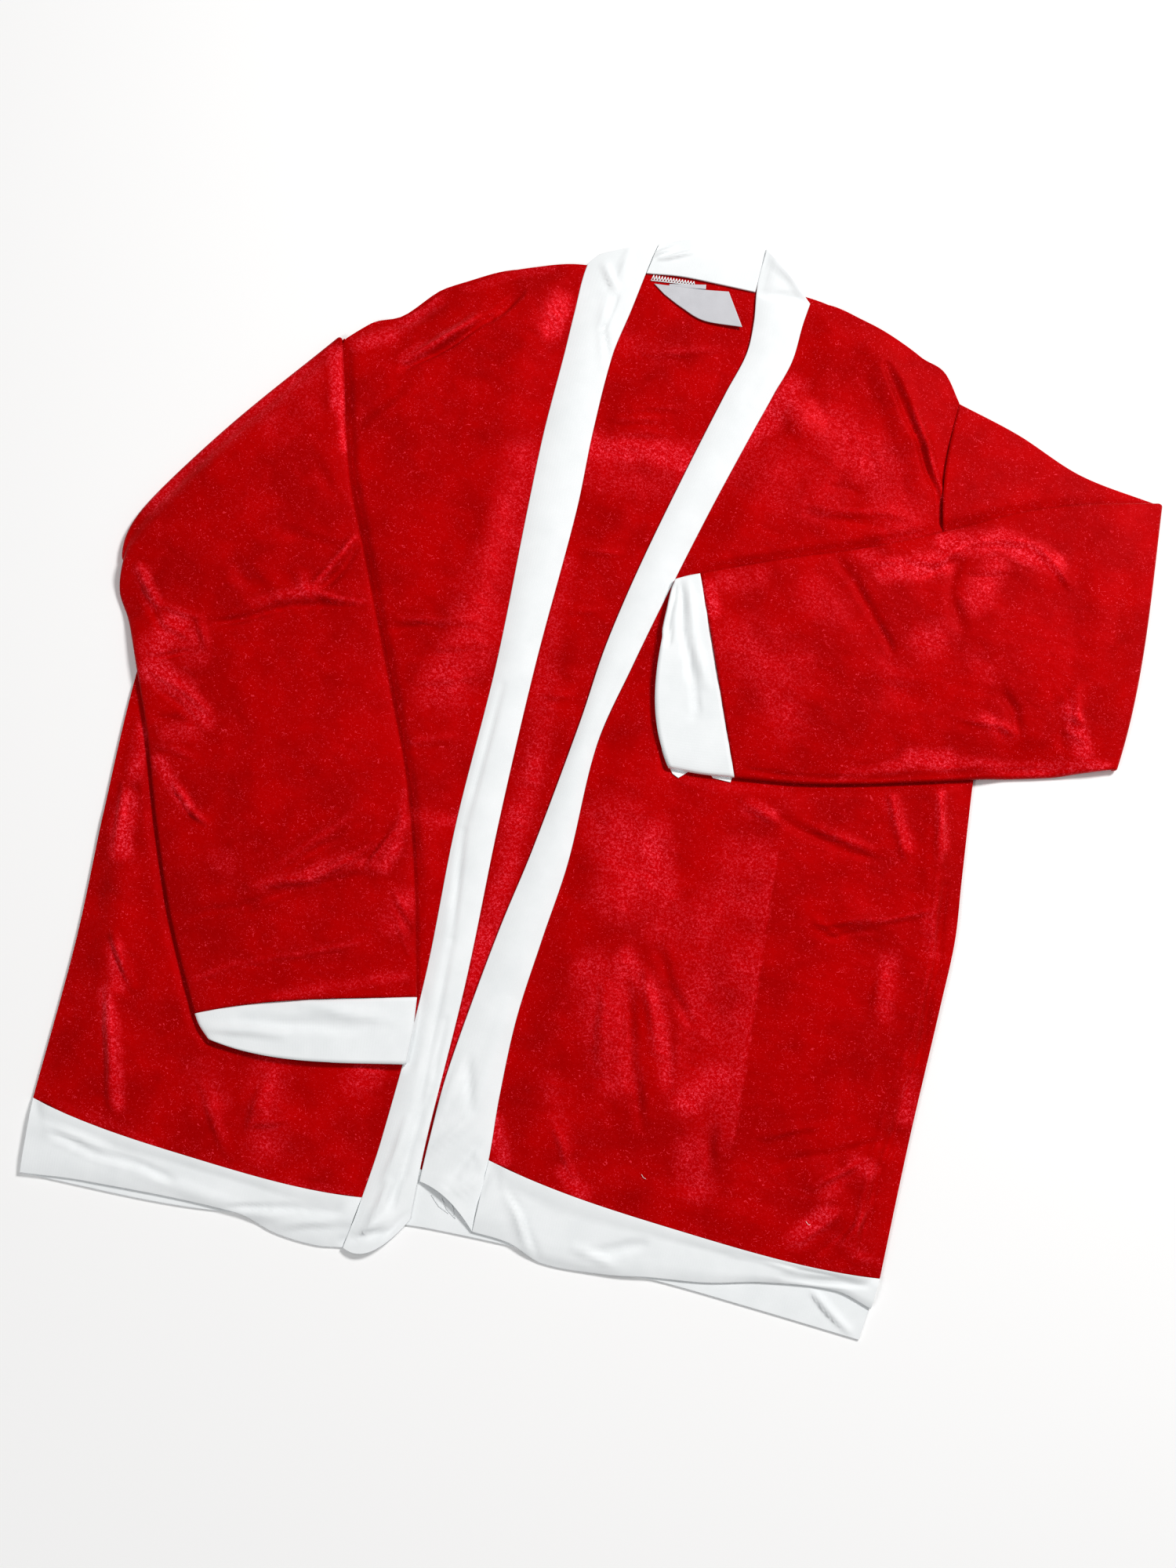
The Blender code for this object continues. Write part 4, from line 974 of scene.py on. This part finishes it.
def add_front(name, rows, sides, sizes, material):
    """Front panel, lofted over the back and settled under the sleeves."""

    def place(u, v):
        x, y = panel_point(rows, sides, u, v)
        width = np.abs(sides[1](y) - sides[0](y))
        length = abs(rows[0].seam_y - rows[-1].seam_y)
        side_edge = np.minimum(u, 1 - u) * width
        from_edge = np.minimum(side_edge, v * length)
        loft = FRONT_LOFT * step(0.0, EDGE_TAPER, from_edge)
        rough = crinkle(name, x, y, sizes) * step(0.0, EDGE_TAPER / 2, from_edge)
        rough += creases(FRONT_CREASES, x, y) + pleats(FRONT_PLEATS, x, y)
        rough += pucker((1 - u) * width, y, sizes, PUCKER_LAYERS[0])
        rough += pucker((1 - v) * length, x, sizes, PUCKER_LAYERS[1])
        lift = uncovered(x, y) * (loft + relief(FRONT_FOLDS, x, y))
        lift += uncovered(x, y, CREASE_MARGIN) * rough
        return x, y, FRONT_Z + np.maximum(lift, 0.0)

    return add_flat(name, place, (PANEL_CELL, PANEL_CELL), FELT, FELT_RIM, material, "red_felt")


def add_back(sizes, material):
    """Back panel, whose inside shows in the opening."""

    def place(u, v):
        x, y = panel_point(BACK_ROWS, (RIGHT_EDGE, LEFT_EDGE), u, v)
        inset = step(*OPENING_TAPER, -clearance(OPENING, x, y))
        rough = crinkle("back_panel", x, y, sizes, BACK_LAYER) + creases(BACK_CREASES, x, y)
        lift = relief(BACK_FOLDS, x, y) + rough
        return x, y, BACK_Z + inset * np.maximum(lift, 0.0)

    return add_flat("back_panel", place, BACK_CELLS, FELT, FELT_RIM, material, "red_felt",
                    gather=BACK_GATHER)


# Knit bands


def hem_point(rows, sides, lower, u, v):
    """Plan point of a hem band, sewn along the bottom row of its panel."""
    top_x, top_y = panel_point(rows, sides, u, 1.0)
    low_x = mix(lower[0].x, lower[-1].x, u)
    low_y = keyed(lower, "x", "y")(low_x)
    return mix(top_x, low_x, v), mix(top_y - BUTT, low_y, v)


def knit_relief(x, y, sizes, layer):
    """Listed creases and soft ripples of the knit, in millimetres."""
    ripple = drift(x, y, KNIT_RIPPLE_SIZE, layer) * sizes.knit_ripple / MM
    return creases(KNIT_CREASES, x, y) + ripple


def add_hem(name, rows, sides, lower, base, sizes, material):
    """Hem band, flat on the floor at the back and as high as the felt at a front's seam."""
    front_edge = keyed(RIGHT_HEM_EDGE + LEFT_HEM_EDGE, "x", "y")
    back_edge = keyed(BACK_HEM_EDGE, "x", "y")

    def place(u, v):
        x, y = hem_point(rows, sides, lower, u, v)
        if base == BACK_Z:
            shows = step(*HEM_SHOWS, front_edge(x) - y)
            return x, y, base + shows * creases(BACK_HEM_CREASES, x, y)
        soft = HEM_ROLL + knit_relief(x, y, sizes, HEM_LAYER)
        soft = np.sqrt(step(0.0, HEM_SIDE, np.minimum(v, 1 - v))) * soft
        ends = step(0.0, HEM_END, np.minimum(u, 1 - u))
        soft = np.maximum(soft, FRONT_LOFT * ends * step(HEM_JOIN, 0.0, v))
        settle = (FRONT_Z - BACK_Z) * step(0.0, HEM_SETTLE, back_edge(x) - y)
        return x, y, base - settle + np.maximum(relief(BAND_FOLDS, x, y) + soft, 0.0)

    return add_flat(name, place, (BAND_CELL, BAND_CELL), KNIT, KNIT_RIM, material, "white_knit")


def front_top(x, y):
    """Upper side of the fronts without their finest relief."""
    return FRONT_Z + FELT + uncovered(x, y) * (FRONT_LOFT + relief(FRONT_FOLDS, x, y))


def lint_height(x, y):
    """Top of what lies under a loose fibre."""
    if y < LOWEST_FRONT_Y:
        return BACK_Z + KNIT + LINT_WIDTH
    return float(front_top(np.array([x]), np.array([y]))[0]) + LINT_WIDTH


def add_band(name, band, toward, sizes, material):
    """Band along a front's seam; toward is the side of the seam that it lies on."""
    seam = keyed(band, "outer_y", "outer_x")
    inner_x = keyed(band, "outer_y", "inner_x")
    inner_y = keyed(band, "outer_y", "inner_y")

    def place(u, v):
        outer_y = mix(BAND_TOPS[name], band[0].outer_y, v)
        x = mix(seam(outer_y) + toward * BUTT, inner_x(outer_y), u)
        bulge = 4 * u * (1 - u)
        end = step(BAND_END, 1.0, v) * BAND_END_BOWS[name]
        y = mix(outer_y, inner_y(outer_y), u) + end * bulge
        lift = BAND_ROLL * bulge + relief(BAND_FOLDS, x, y)
        lift += np.sqrt(bulge) * knit_relief(x, y, sizes, BAND_LAYER)
        return x, y, FRONT_Z + uncovered(x, y) * np.maximum(lift, 0.0)

    return add_flat(name, place, (BAND_CELL, BAND_CELL), KNIT, KNIT_RIM, material, "white_knit")


def strip_point(strip, u, v):
    """Plan point of a short strip and its lift: u runs along its edges, v across it."""
    upper_x, upper_y, lower_x, lower_y, lift = (spread(strip, key)(u) for key in Strip._fields)
    return mix(upper_x, lower_x, v), mix(upper_y, lower_y, v), lift


def add_strip(name, strip, drop, cell, wall, rim, material, slot, extra=False):
    """Short strip such as the neck band or the label, whose upper edge may drop to the floor."""

    def place(u, v):
        x, y, lift = strip_point(strip, u, v)
        if drop:
            lift = lift * np.sin(math.pi * mix(*STRIP_SWELL, v))
            lift = lift + np.maximum(creases(KNIT_CREASES, x, y), 0.0)
            return x, y, LABEL_Z + lift - drop * step(STRIP_DROP, 0.0, v)
        return x, y, LABEL_Z + lift * v

    return add_flat(name, place, (cell, cell), wall, rim, material, slot, extra)


def add_overlock(sizes, material):
    """Zigzag of white thread over the raw edge under the neck band."""
    thread = bmesh.new()
    width = sizes.thread_width / MM
    edge, height = OVERLOCK, LABEL_Z + width / 2
    for stitch in range(OVERLOCK_STITCHES):
        shares = [(stitch + part) / OVERLOCK_STITCHES for part in (0.0, 0.5, 1.0)]
        reach = edge.width * (1 - edge.height * stitch / OVERLOCK_STITCHES)
        foot, top, next_foot = (
            (mix(edge.x0, edge.x1, share), mix(edge.y0, edge.y1, share) + rise, height)
            for share, rise in zip(shares, (0.0, reach, 0.0)))
        add_thread(thread, foot, top, width)
        add_thread(thread, top, next_foot, width)
        add_thread(thread, foot, next_foot, width)
    return add_piece("neck_overlock", thread, material, "white_knit", extra=True)


def add_lint(material):
    """Loose pale fibres that lie on the cloth."""
    fibres = bmesh.new()
    for path in LINT:
        for start, end in zip(path, path[1:]):
            height = lint_height(*start), lint_height(*end)
            add_thread(fibres, (*start, height[0]), (*end, height[1]), LINT_WIDTH)
    return add_piece("lint_fibres", fibres, material, "white_knit", extra=True)


# Sleeves and cuffs


def armhole_bend(side, top_y, armpit_y, t):
    """How far the armhole curves off the straight line from shoulder point to armpit."""
    y = mix(top_y, armpit_y, t)
    return side(y) - mix(side(top_y), side(armpit_y), t)


def ring(line, up, centre_z, lofts, width, cell, wall):
    """Closed ring of a flattened tube on a line of plan points, rounded at its two folded edges.

    lofts gives the extra height on the up side and on the other side at plan points.
    """
    half = wall + AIR / 2
    t = stops(width, cell, half)
    profile = np.sqrt(1 - (1 - np.clip(np.minimum(t, 1 - t) * width / half, 0.0, 1.0)) ** 2)
    x, y = line(t)
    centre = np.stack([x, y, np.broadcast_to(centre_z(x, y), x.shape)], axis=1)
    above, below = lofts(x, y, t)
    top = centre + np.outer(half * profile + above, up)
    low = centre - np.outer(half * profile + below, up)
    return np.concatenate([top, low[-2:0:-1]])


def add_sleeve(name, under, over, side, top_y, armpit_y, outward, sizes, material):
    """Sleeve laid out from the armhole, then turned over at its fold line onto the front."""
    width = SPANS[name][0] / 2
    half = FELT + AIR / 2
    low_mid = BACK_Z + half
    high_mid = OVER_Z + half
    radius = (high_mid - low_mid) / 2
    outward = Vector((*outward, 0.0)).normalized()
    under_rings = int(abs(under[-1].ax - under[0].ax) / PANEL_CELL)
    over_run = math.hypot(over[0].ax - over[-1].ax, over[0].ay - over[-1].ay)
    made = []

    def under_line(share):
        def line(t):
            x, y = section_line(under, share, t)
            return x + armhole_bend(side, top_y, armpit_y, t) * (1 - share) ** 2, y

        return line

    def under_loft(share):
        def loft(x, y, t):
            edge = np.sin(math.pi * t)
            ends = math.sin(math.pi * share) ** 0.5 if 0 < share < 1 else 0.0
            rough = crinkle(name, x, y, sizes, UPPER_ARM_LAYER) + creases(SLEEVE_CREASES, x, y)
            lift = edge * UPPER_ARM_LOFT + ends * edge * rough
            return uncovered(x, y) * np.maximum(lift, -AIR / 4), 0.0 * t

        return loft

    for share in np.linspace(0.0, 1.0, max(under_rings, LEAST_RINGS)):
        made.append(ring(under_line(share), UP, lambda x, y: low_mid, under_loft(share), width,
                         PANEL_CELL, FELT))

    for angle in FOLD_ANGLES:
        turn = math.radians(angle)
        shift = outward * radius * math.sin(turn)
        height = low_mid + radius * (1 - math.cos(turn))
        up = UP * math.cos(turn) - outward * math.sin(turn)

        def line(t, shift=shift):
            x, y = section_line(over, 0.0, t)
            return x + shift.x, y + shift.y

        made.append(ring(line, up, lambda x, y, height=height: height,
                         lambda x, y, t: (0.0 * t, 0.0 * t), width, PANEL_CELL, FELT))

    def over_loft(share):
        def loft(x, y, t):
            edge = np.sin(math.pi * t) ** LOFT_POWER
            from_fold = step(0.0, FOLD_REACH, share)
            rough = crinkle(name, x, y, sizes, FOREARM_LAYER) + creases(SLEEVE_CREASES, x, y)
            lift = SLEEVE_LOFT + relief(SLEEVE_FOLDS, x, y) + rough
            return 0.0 * t, from_fold * edge * np.maximum(lift, 0.0)

        return loft

    for share in np.linspace(0.0, 1.0, int(over_run / PANEL_CELL)):
        made.append(ring(lambda t: section_line(over, share, t), -UP,
                         lambda x, y: high_mid - droop(x, y), over_loft(share), width,
                         PANEL_CELL, FELT))
    return add_tube(name, np.array(made), FELT, material, "red_felt")


def add_cuff_tip(name, strip, material):
    """Tip of a cuff's under layer, on the front below the cuff."""

    def place(u, v):
        x, y, _ = strip_point(strip, u, v)
        return x, y, front_top(x, y) + SEAM

    return add_flat(name, place, (STRIP_CELL, STRIP_CELL), LABEL, KNIT_RIM, material,
                    "white_knit", extra=True)


def add_cuff(name, cuff, sizes, material):
    """Double knit tube sewn to the end of a folded sleeve."""
    around, length = SPANS[name]
    half = KNIT + AIR / 2

    def line_at(share):
        def line(t):
            x, y = section_line(cuff, share, t)
            end_x, end_y = section_line(cuff, 1.0, t)
            start_x, start_y = section_line(cuff, 0.0, t)
            run = np.hypot(end_x - start_x, end_y - start_y)
            gap = BUTT * (1 - share) * CUFF_BUTT / run
            return x + (end_x - start_x) * gap, y + (end_y - start_y) * gap

        return line

    def loft(x, y, t):
        edge = np.sin(math.pi * t) ** LOFT_POWER
        rough = np.maximum(knit_relief(x, y, sizes, CUFF_LAYER), -CUFF_DEPTH)
        return edge * (CUFF_LOFT + rough), 0.0 * t

    made = [ring(line_at(share), UP, lambda x, y: OVER_Z + half - droop(x, y), loft, around / 2,
                 BAND_CELL, KNIT) for share in np.linspace(0.0, 1.0, int(length / BAND_CELL))]
    return add_tube(name, np.array(made), KNIT, material, "white_knit")


# Materials


def feed(socket, value):
    """Links an input to another node's output, or sets its value."""
    if isinstance(value, bpy.types.NodeSocket):
        socket.id_data.links.new(value, socket)
    else:
        socket.default_value = value


def new_material(name):
    """Material with its shader and a maker of nodes."""
    material = bpy.data.materials.new(name)
    material.use_nodes = True
    tree = material.node_tree

    def node(kind, settings=None, **inputs):
        made = tree.nodes.new(kind)
        for key, value in (settings or {}).items():
            setattr(made, key, value)
        for key, value in inputs.items():
            feed(made.inputs[key.replace("_", " ")], value)
        return made

    return material, node, tree.nodes["Principled BSDF"]


def set_shader(shader, values):
    """Feeds a shader's own sockets."""
    for key, value in values.items():
        feed(shader.inputs[key], value)


def colour_mix(node, factor, low, high):
    """Colour between two, by a factor socket."""
    made = node("ShaderNodeMix", {"data_type": "RGBA"})
    for index, value in ((0, factor), (6, low), (7, high)):
        feed(made.inputs[index], value)
    return made.outputs[2]


def ranged(node, value, from_min, from_max, to_min, to_max):
    """Socket remapped from one range to another, without going past its ends."""
    made = node("ShaderNodeMapRange", Value=value, From_Min=from_min, From_Max=from_max,
                To_Min=to_min, To_Max=to_max)
    return made.outputs["Result"]


def speckle(node, vector, scale, detail, roughness=0.5, distortion=0.0):
    """Noise socket at a vector."""
    made = node("ShaderNodeTexNoise", Vector=vector, Scale=scale, Detail=detail,
                Roughness=roughness, Distortion=distortion)
    return made.outputs[0]


def bump(node, strength, depth, height, **normal):
    """Normal socket of a bump, whose depth is in millimetres."""
    made = node("ShaderNodeBump", Strength=strength, Distance=depth * MM, Height=height, **normal)
    return made.outputs[0]


def bands(node, direction, vector, **inputs):
    """Socket of straight ribs across a direction of a vector."""
    made = node("ShaderNodeTexWave", {"wave_type": "BANDS", "bands_direction": direction},
                Vector=vector, **inputs)
    return made.outputs["Fac"]


def felt_material(colours):
    """Glazed needle felt: fine crinkles and grain, a soft tinted glaze, a painted highlight of
    lighter red with painted glints where the glaze is, and a few pale fibres.
    """
    material, node, shader = new_material("glazed_red_felt")
    coords = node("ShaderNodeTexCoord").outputs["Object"]
    # Glaze share: lowers the roughness and places the painted highlight red and painted glints
    shine = node("ShaderNodeAttribute", {"attribute_name": "glaze"}).outputs["Fac"]
    wide = node("ShaderNodeMapping", Vector=coords, Scale=(0.6, 1.15, 1.0)).outputs[0]
    wrinkle = speckle(node, wide, *FELT_WRINKLE)
    grain = speckle(node, coords, *FELT_GRAIN)
    fibre = speckle(node, coords, *FELT_FIBRE)
    cloud = speckle(node, coords, *FELT_CLOUD)
    speck = node("ShaderNodeTexVoronoi", {"feature": "F1"}, Vector=coords, Scale=200.0,
                 Randomness=1.0).outputs["Distance"]
    # Painted glints: pale specks from the grain, only where the glaze share is high
    painted_glint = node("ShaderNodeMath", {"operation": "MULTIPLY", "use_clamp": True})
    feed(painted_glint.inputs[0], ranged(node, grain, *GRAIN_TO_PAINTED_GLINT))
    feed(painted_glint.inputs[1], ranged(node, shine, *SHINE_TO_PAINTED_GLINT))
    # Pale red of the painted glints, also used for the real pale fibres and specks
    pale = tuple(colours.painted_glint)
    red = colour_mix(node, ranged(node, cloud, *CLOUD_TO_RED), tuple(colours.felt_shade),
                     tuple(colours.felt))
    # Painted highlight: lighter red where the glaze share is high
    red = colour_mix(node, ranged(node, shine, *SHINE_TO_PAINTED_SHEEN), red, tuple(colours.painted_sheen))
    # Painted glints into the colour; the next two add real pale fibres and specks
    red = colour_mix(node, painted_glint.outputs[0], red, pale)
    red = colour_mix(node, ranged(node, fibre, *FIBRE_TO_GLINT), red, pale)
    red = colour_mix(node, ranged(node, speck, *SPECK_TO_GLINT), red, pale)
    first = bump(node, ranged(node, shine, *SHINE_TO_WRINKLE), 0.6, wrinkle)
    second = bump(node, ranged(node, shine, *SHINE_TO_GRAIN), 0.35, grain, Normal=first)
    set_shader(shader, {
        "Base Color": red,
        "Roughness": ranged(node, shine, *SHINE_TO_ROUGHNESS),
        "Specular IOR Level": 0.28,
        "Specular Tint": tuple(colours.glaze),
        "Normal": second,
    })
    return material


def knit_material(colours):
    """Brushed double knit: fine ribs along the band and soft nap."""
    material, node, shader = new_material("white_knit")
    uv = node("ShaderNodeUVMap", {"uv_map": "cloth"}).outputs[0]
    coords = node("ShaderNodeTexCoord").outputs["Object"]
    ribs = bands(node, "X", uv, Scale=150.0, Distortion=1.5, Detail=2.0, Detail_Scale=2.0)
    nap = speckle(node, coords, *KNIT_NAP)
    shade = ranged(node, speckle(node, coords, *KNIT_CLOUD), *CLOUD_TO_WHITE)
    first = bump(node, 0.1, 0.15, ribs)
    set_shader(shader, {
        "Base Color": colour_mix(node, shade, tuple(colours.knit_shade), tuple(colours.knit)),
        "Roughness": 0.86,
        "Specular IOR Level": 0.3,
        "Sheen Weight": 0.15,
        "Sheen Roughness": 0.5,
        "Normal": bump(node, 0.35, 0.15, nap, Normal=first),
    })
    return material


def label_material(colours):
    """Bare woven satin tape."""
    material, node, shader = new_material("bare_satin_label")
    uv = node("ShaderNodeUVMap", {"uv_map": "cloth"}).outputs[0]
    weave = bands(node, "Y", uv, Scale=420.0, Distortion=0.4, Detail=1.0)
    shade = ranged(node, speckle(node, uv, *LABEL_CLOUD), *CLOUD_TO_LABEL)
    dark = tuple(LABEL_SHADE * part for part in colours.label[:3]) + (1.0,)
    set_shader(shader, {
        "Base Color": colour_mix(node, shade, dark, tuple(colours.label)),
        "Roughness": 0.48,
        "Normal": bump(node, 0.3, 0.1, weave),
    })
    return material


def floor_material(colours):
    """Matt floor that reflects nothing."""
    material, _, shader = new_material("pale_floor")
    set_shader(shader, {"Base Color": tuple(colours.floor), "Roughness": 0.9,
                        "Specular IOR Level": 0.0})
    return material


def material_named(name):
    """Material made earlier, or made now beside one of that name that came with the frame."""
    makers = {
        "glazed_red_felt": felt_material,
        "white_knit": knit_material,
        "bare_satin_label": label_material,
    }
    found = bpy.data.materials.get(name)
    if found is None or "made" not in found:
        if found is not None:
            found.name = "packed_" + name
        found = makers[name](bpy.context.scene.jacket_colours)
        found["made"] = True
    return found


# Operators


class JACKET_OT_back(bpy.types.Operator):
    """Lays the red felt back"""

    bl_idname = "jacket.back"
    bl_label = "Back"

    def execute(self, context):
        sizes = context.scene.jacket_sizes
        felt = material_named("glazed_red_felt")
        piece = add_back(sizes, felt)
        return {"FINISHED"}


class JACKET_OT_fronts(bpy.types.Operator):
    """Lays the two red felt fronts on the back"""

    bl_idname = "jacket.fronts"
    bl_label = "Fronts"

    def execute(self, context):
        sizes = context.scene.jacket_sizes
        felt = material_named("glazed_red_felt")
        right = add_front("front_right", RIGHT_FRONT_ROWS, (RIGHT_EDGE, RIGHT_SEAM), sizes, felt)
        left = add_front("front_left", LEFT_FRONT_ROWS, (LEFT_EDGE, LEFT_SEAM), sizes, felt)
        return {"FINISHED"}


class JACKET_OT_hems(bpy.types.Operator):
    """Lays the three knit hem bands"""

    bl_idname = "jacket.hems"
    bl_label = "Hem bands"

    def execute(self, context):
        sizes = context.scene.jacket_sizes
        knit = material_named("white_knit")
        back = add_hem("hem_back", BACK_ROWS, (RIGHT_EDGE, LEFT_EDGE), BACK_HEM_EDGE, BACK_Z,
                       sizes, knit)
        right = add_hem("hem_front_right", RIGHT_FRONT_ROWS, (RIGHT_EDGE, RIGHT_SEAM),
                        RIGHT_HEM_EDGE, FRONT_Z, sizes, knit)
        left = add_hem("hem_front_left", LEFT_FRONT_ROWS, (LEFT_EDGE, LEFT_SEAM),
                       LEFT_HEM_EDGE[::-1], FRONT_Z, sizes, knit)
        return {"FINISHED"}


class JACKET_OT_bands(bpy.types.Operator):
    """Lays the knit band down each side of the opening"""

    bl_idname = "jacket.bands"
    bl_label = "Front bands"

    def execute(self, context):
        sizes = context.scene.jacket_sizes
        knit = material_named("white_knit")
        right = add_band("band_right", RIGHT_BAND, 1, sizes, knit)
        left = add_band("band_left", LEFT_BAND, -1, sizes, knit)
        return {"FINISHED"}


class JACKET_OT_neck(bpy.types.Operator):
    """Lays the knit band at the back of the neck and the bare label under it"""

    bl_idname = "jacket.neck"
    bl_label = "Neck band and label"

    def execute(self, context):
        knit = material_named("white_knit")
        satin = material_named("bare_satin_label")
        collar = add_strip("collar_back", COLLAR, LABEL_Z, COLLAR_CELL, KNIT, KNIT_RIM, knit,
                           "white_knit")
        label = add_strip("care_label", CARE_LABEL, 0.0, STRIP_CELL, LABEL, LABEL_RIM, satin,
                          "label_cloth")
        tuck = add_strip("label_tuck", LABEL_TUCK, 0.0, STRIP_CELL, LABEL, LABEL_RIM, satin,
                         "label_cloth", extra=True)
        add_overlock(context.scene.jacket_sizes, knit)
        add_lint(knit)
        return {"FINISHED"}


class JACKET_OT_sleeves(bpy.types.Operator):
    """Lays the two sleeves, turned back over the fronts"""

    bl_idname = "jacket.sleeves"
    bl_label = "Sleeves"

    def execute(self, context):
        sizes = context.scene.jacket_sizes
        felt = material_named("glazed_red_felt")
        right = add_sleeve("sleeve_right", RIGHT_UNDER, RIGHT_OVER, RIGHT_EDGE, RIGHT_SHOULDER_Y,
                           RIGHT_ARMPIT_Y, RIGHT_OUTWARD, sizes, felt)
        left = add_sleeve("sleeve_left", LEFT_UNDER, LEFT_OVER, LEFT_EDGE, LEFT_SHOULDER_Y,
                          LEFT_ARMPIT_Y, LEFT_OUTWARD, sizes, felt)
        return {"FINISHED"}


class JACKET_OT_cuffs(bpy.types.Operator):
    """Lays the knit cuffs at the ends of the sleeves"""

    bl_idname = "jacket.cuffs"
    bl_label = "Cuffs"

    def execute(self, context):
        sizes = context.scene.jacket_sizes
        knit = material_named("white_knit")
        right = add_cuff("cuff_right", RIGHT_CUFF, sizes, knit)
        left = add_cuff("cuff_left", LEFT_CUFF, sizes, knit)
        tips = [add_cuff_tip(name, strip, knit) for name, strip in CUFF_TIPS.items()]
        return {"FINISHED"}


def add_light(row, target):
    """Soft area light that faces a point."""
    light = bpy.data.lights.new(row.name, "AREA")
    light.shape = "DISK"
    light.size = row.size
    light.energy = row.energy
    light.color = row.colour
    lamp = bpy.data.objects.new(row.name, light)
    lamp.location = row.place
    lamp.rotation_mode = "QUATERNION"
    lamp.rotation_quaternion = (target - Vector(row.place)).to_track_quat("-Z", "Y")
    bpy.context.scene.collection.objects.link(lamp)


class JACKET_OT_stage(bpy.types.Operator):
    """Adds the pale floor, the soft lights and the camera"""

    bl_idname = "jacket.stage"
    bl_label = "Floor, lights and camera"

    def execute(self, context):
        scene = context.scene
        sheet = bmesh.new()
        bmesh.ops.create_grid(sheet, x_segments=2, y_segments=2, size=FLOOR_SIZE)
        mesh = bpy.data.meshes.new("floor")
        sheet.to_mesh(mesh)
        sheet.free()
        mesh.materials.append(floor_material(scene.jacket_colours))
        floor = bpy.data.objects.new("floor", mesh)
        floor.location.z = -FLOOR_DROP * MM
        scene.collection.objects.link(floor)

        world = bpy.data.worlds.new("studio")
        world.use_nodes = True
        background = world.node_tree.nodes["Background"]
        background.inputs["Color"].default_value = (1.0, 1.0, 1.0, 1.0)
        background.inputs["Strength"].default_value = WORLD_STRENGTH
        scene.world = world

        azimuth, elevation = math.radians(CAMERA_AZIMUTH), math.radians(CAMERA_ELEVATION)
        back = Vector((math.sin(azimuth) * math.cos(elevation),
                       -math.cos(azimuth) * math.cos(elevation), math.sin(elevation)))
        target = Vector((*row_shift(), 0.0)) * MM
        for row in LIGHTS:
            add_light(row, target)

        camera = bpy.data.cameras.new("camera")
        camera.lens = CAMERA_LENS
        camera.sensor_width = CAMERA_SENSOR
        camera.sensor_fit = "AUTO"
        eye = bpy.data.objects.new("camera", camera)
        eye.location = target + back * CAMERA_DISTANCE
        eye.rotation_mode = "QUATERNION"
        eye.rotation_quaternion = (-back).to_track_quat("-Z", "Y")
        scene.collection.objects.link(eye)
        scene.camera = eye
        scene.view_settings.view_transform = "Standard"
        scene.view_settings.look = "Medium High Contrast"
        return {"FINISHED"}


OPERATORS = (
    JACKET_OT_back,
    JACKET_OT_fronts,
    JACKET_OT_hems,
    JACKET_OT_bands,
    JACKET_OT_neck,
    JACKET_OT_sleeves,
    JACKET_OT_cuffs,
    JACKET_OT_stage,
)


class JACKET_PT_sidebar(bpy.types.Panel):
    """Panel with the jacket's sizes, colours and pieces"""

    bl_idname = "JACKET_PT_sidebar"
    bl_label = "Santa suit jacket"
    bl_space_type = "VIEW_3D"
    bl_region_type = "UI"
    bl_category = "Jacket"

    def draw(self, context):
        layout = self.layout
        for group in (context.scene.jacket_sizes, context.scene.jacket_colours):
            box = layout.box()
            for name in group.bl_rna.properties.keys():
                if name not in {"rna_type", "name"}:
                    box.prop(group, name)
        for operator in OPERATORS:
            layout.operator(operator.bl_idname)


CLASSES = (JacketSizes, JacketColours, *OPERATORS, JACKET_PT_sidebar)


def register():
    for item in CLASSES:
        bpy.utils.register_class(item)
    bpy.types.Scene.jacket_sizes = bpy.props.PointerProperty(type=JacketSizes)
    bpy.types.Scene.jacket_colours = bpy.props.PointerProperty(type=JacketColours)


def unregister():
    del bpy.types.Scene.jacket_colours
    del bpy.types.Scene.jacket_sizes
    for item in reversed(CLASSES):
        bpy.utils.unregister_class(item)


def main():
    register()
    bpy.ops.jacket.back()
    bpy.ops.jacket.fronts()
    bpy.ops.jacket.hems()
    bpy.ops.jacket.bands()
    bpy.ops.jacket.neck()
    bpy.ops.jacket.sleeves()
    bpy.ops.jacket.cuffs()
    bpy.ops.jacket.stage()


if __name__ == "__main__":
    main()
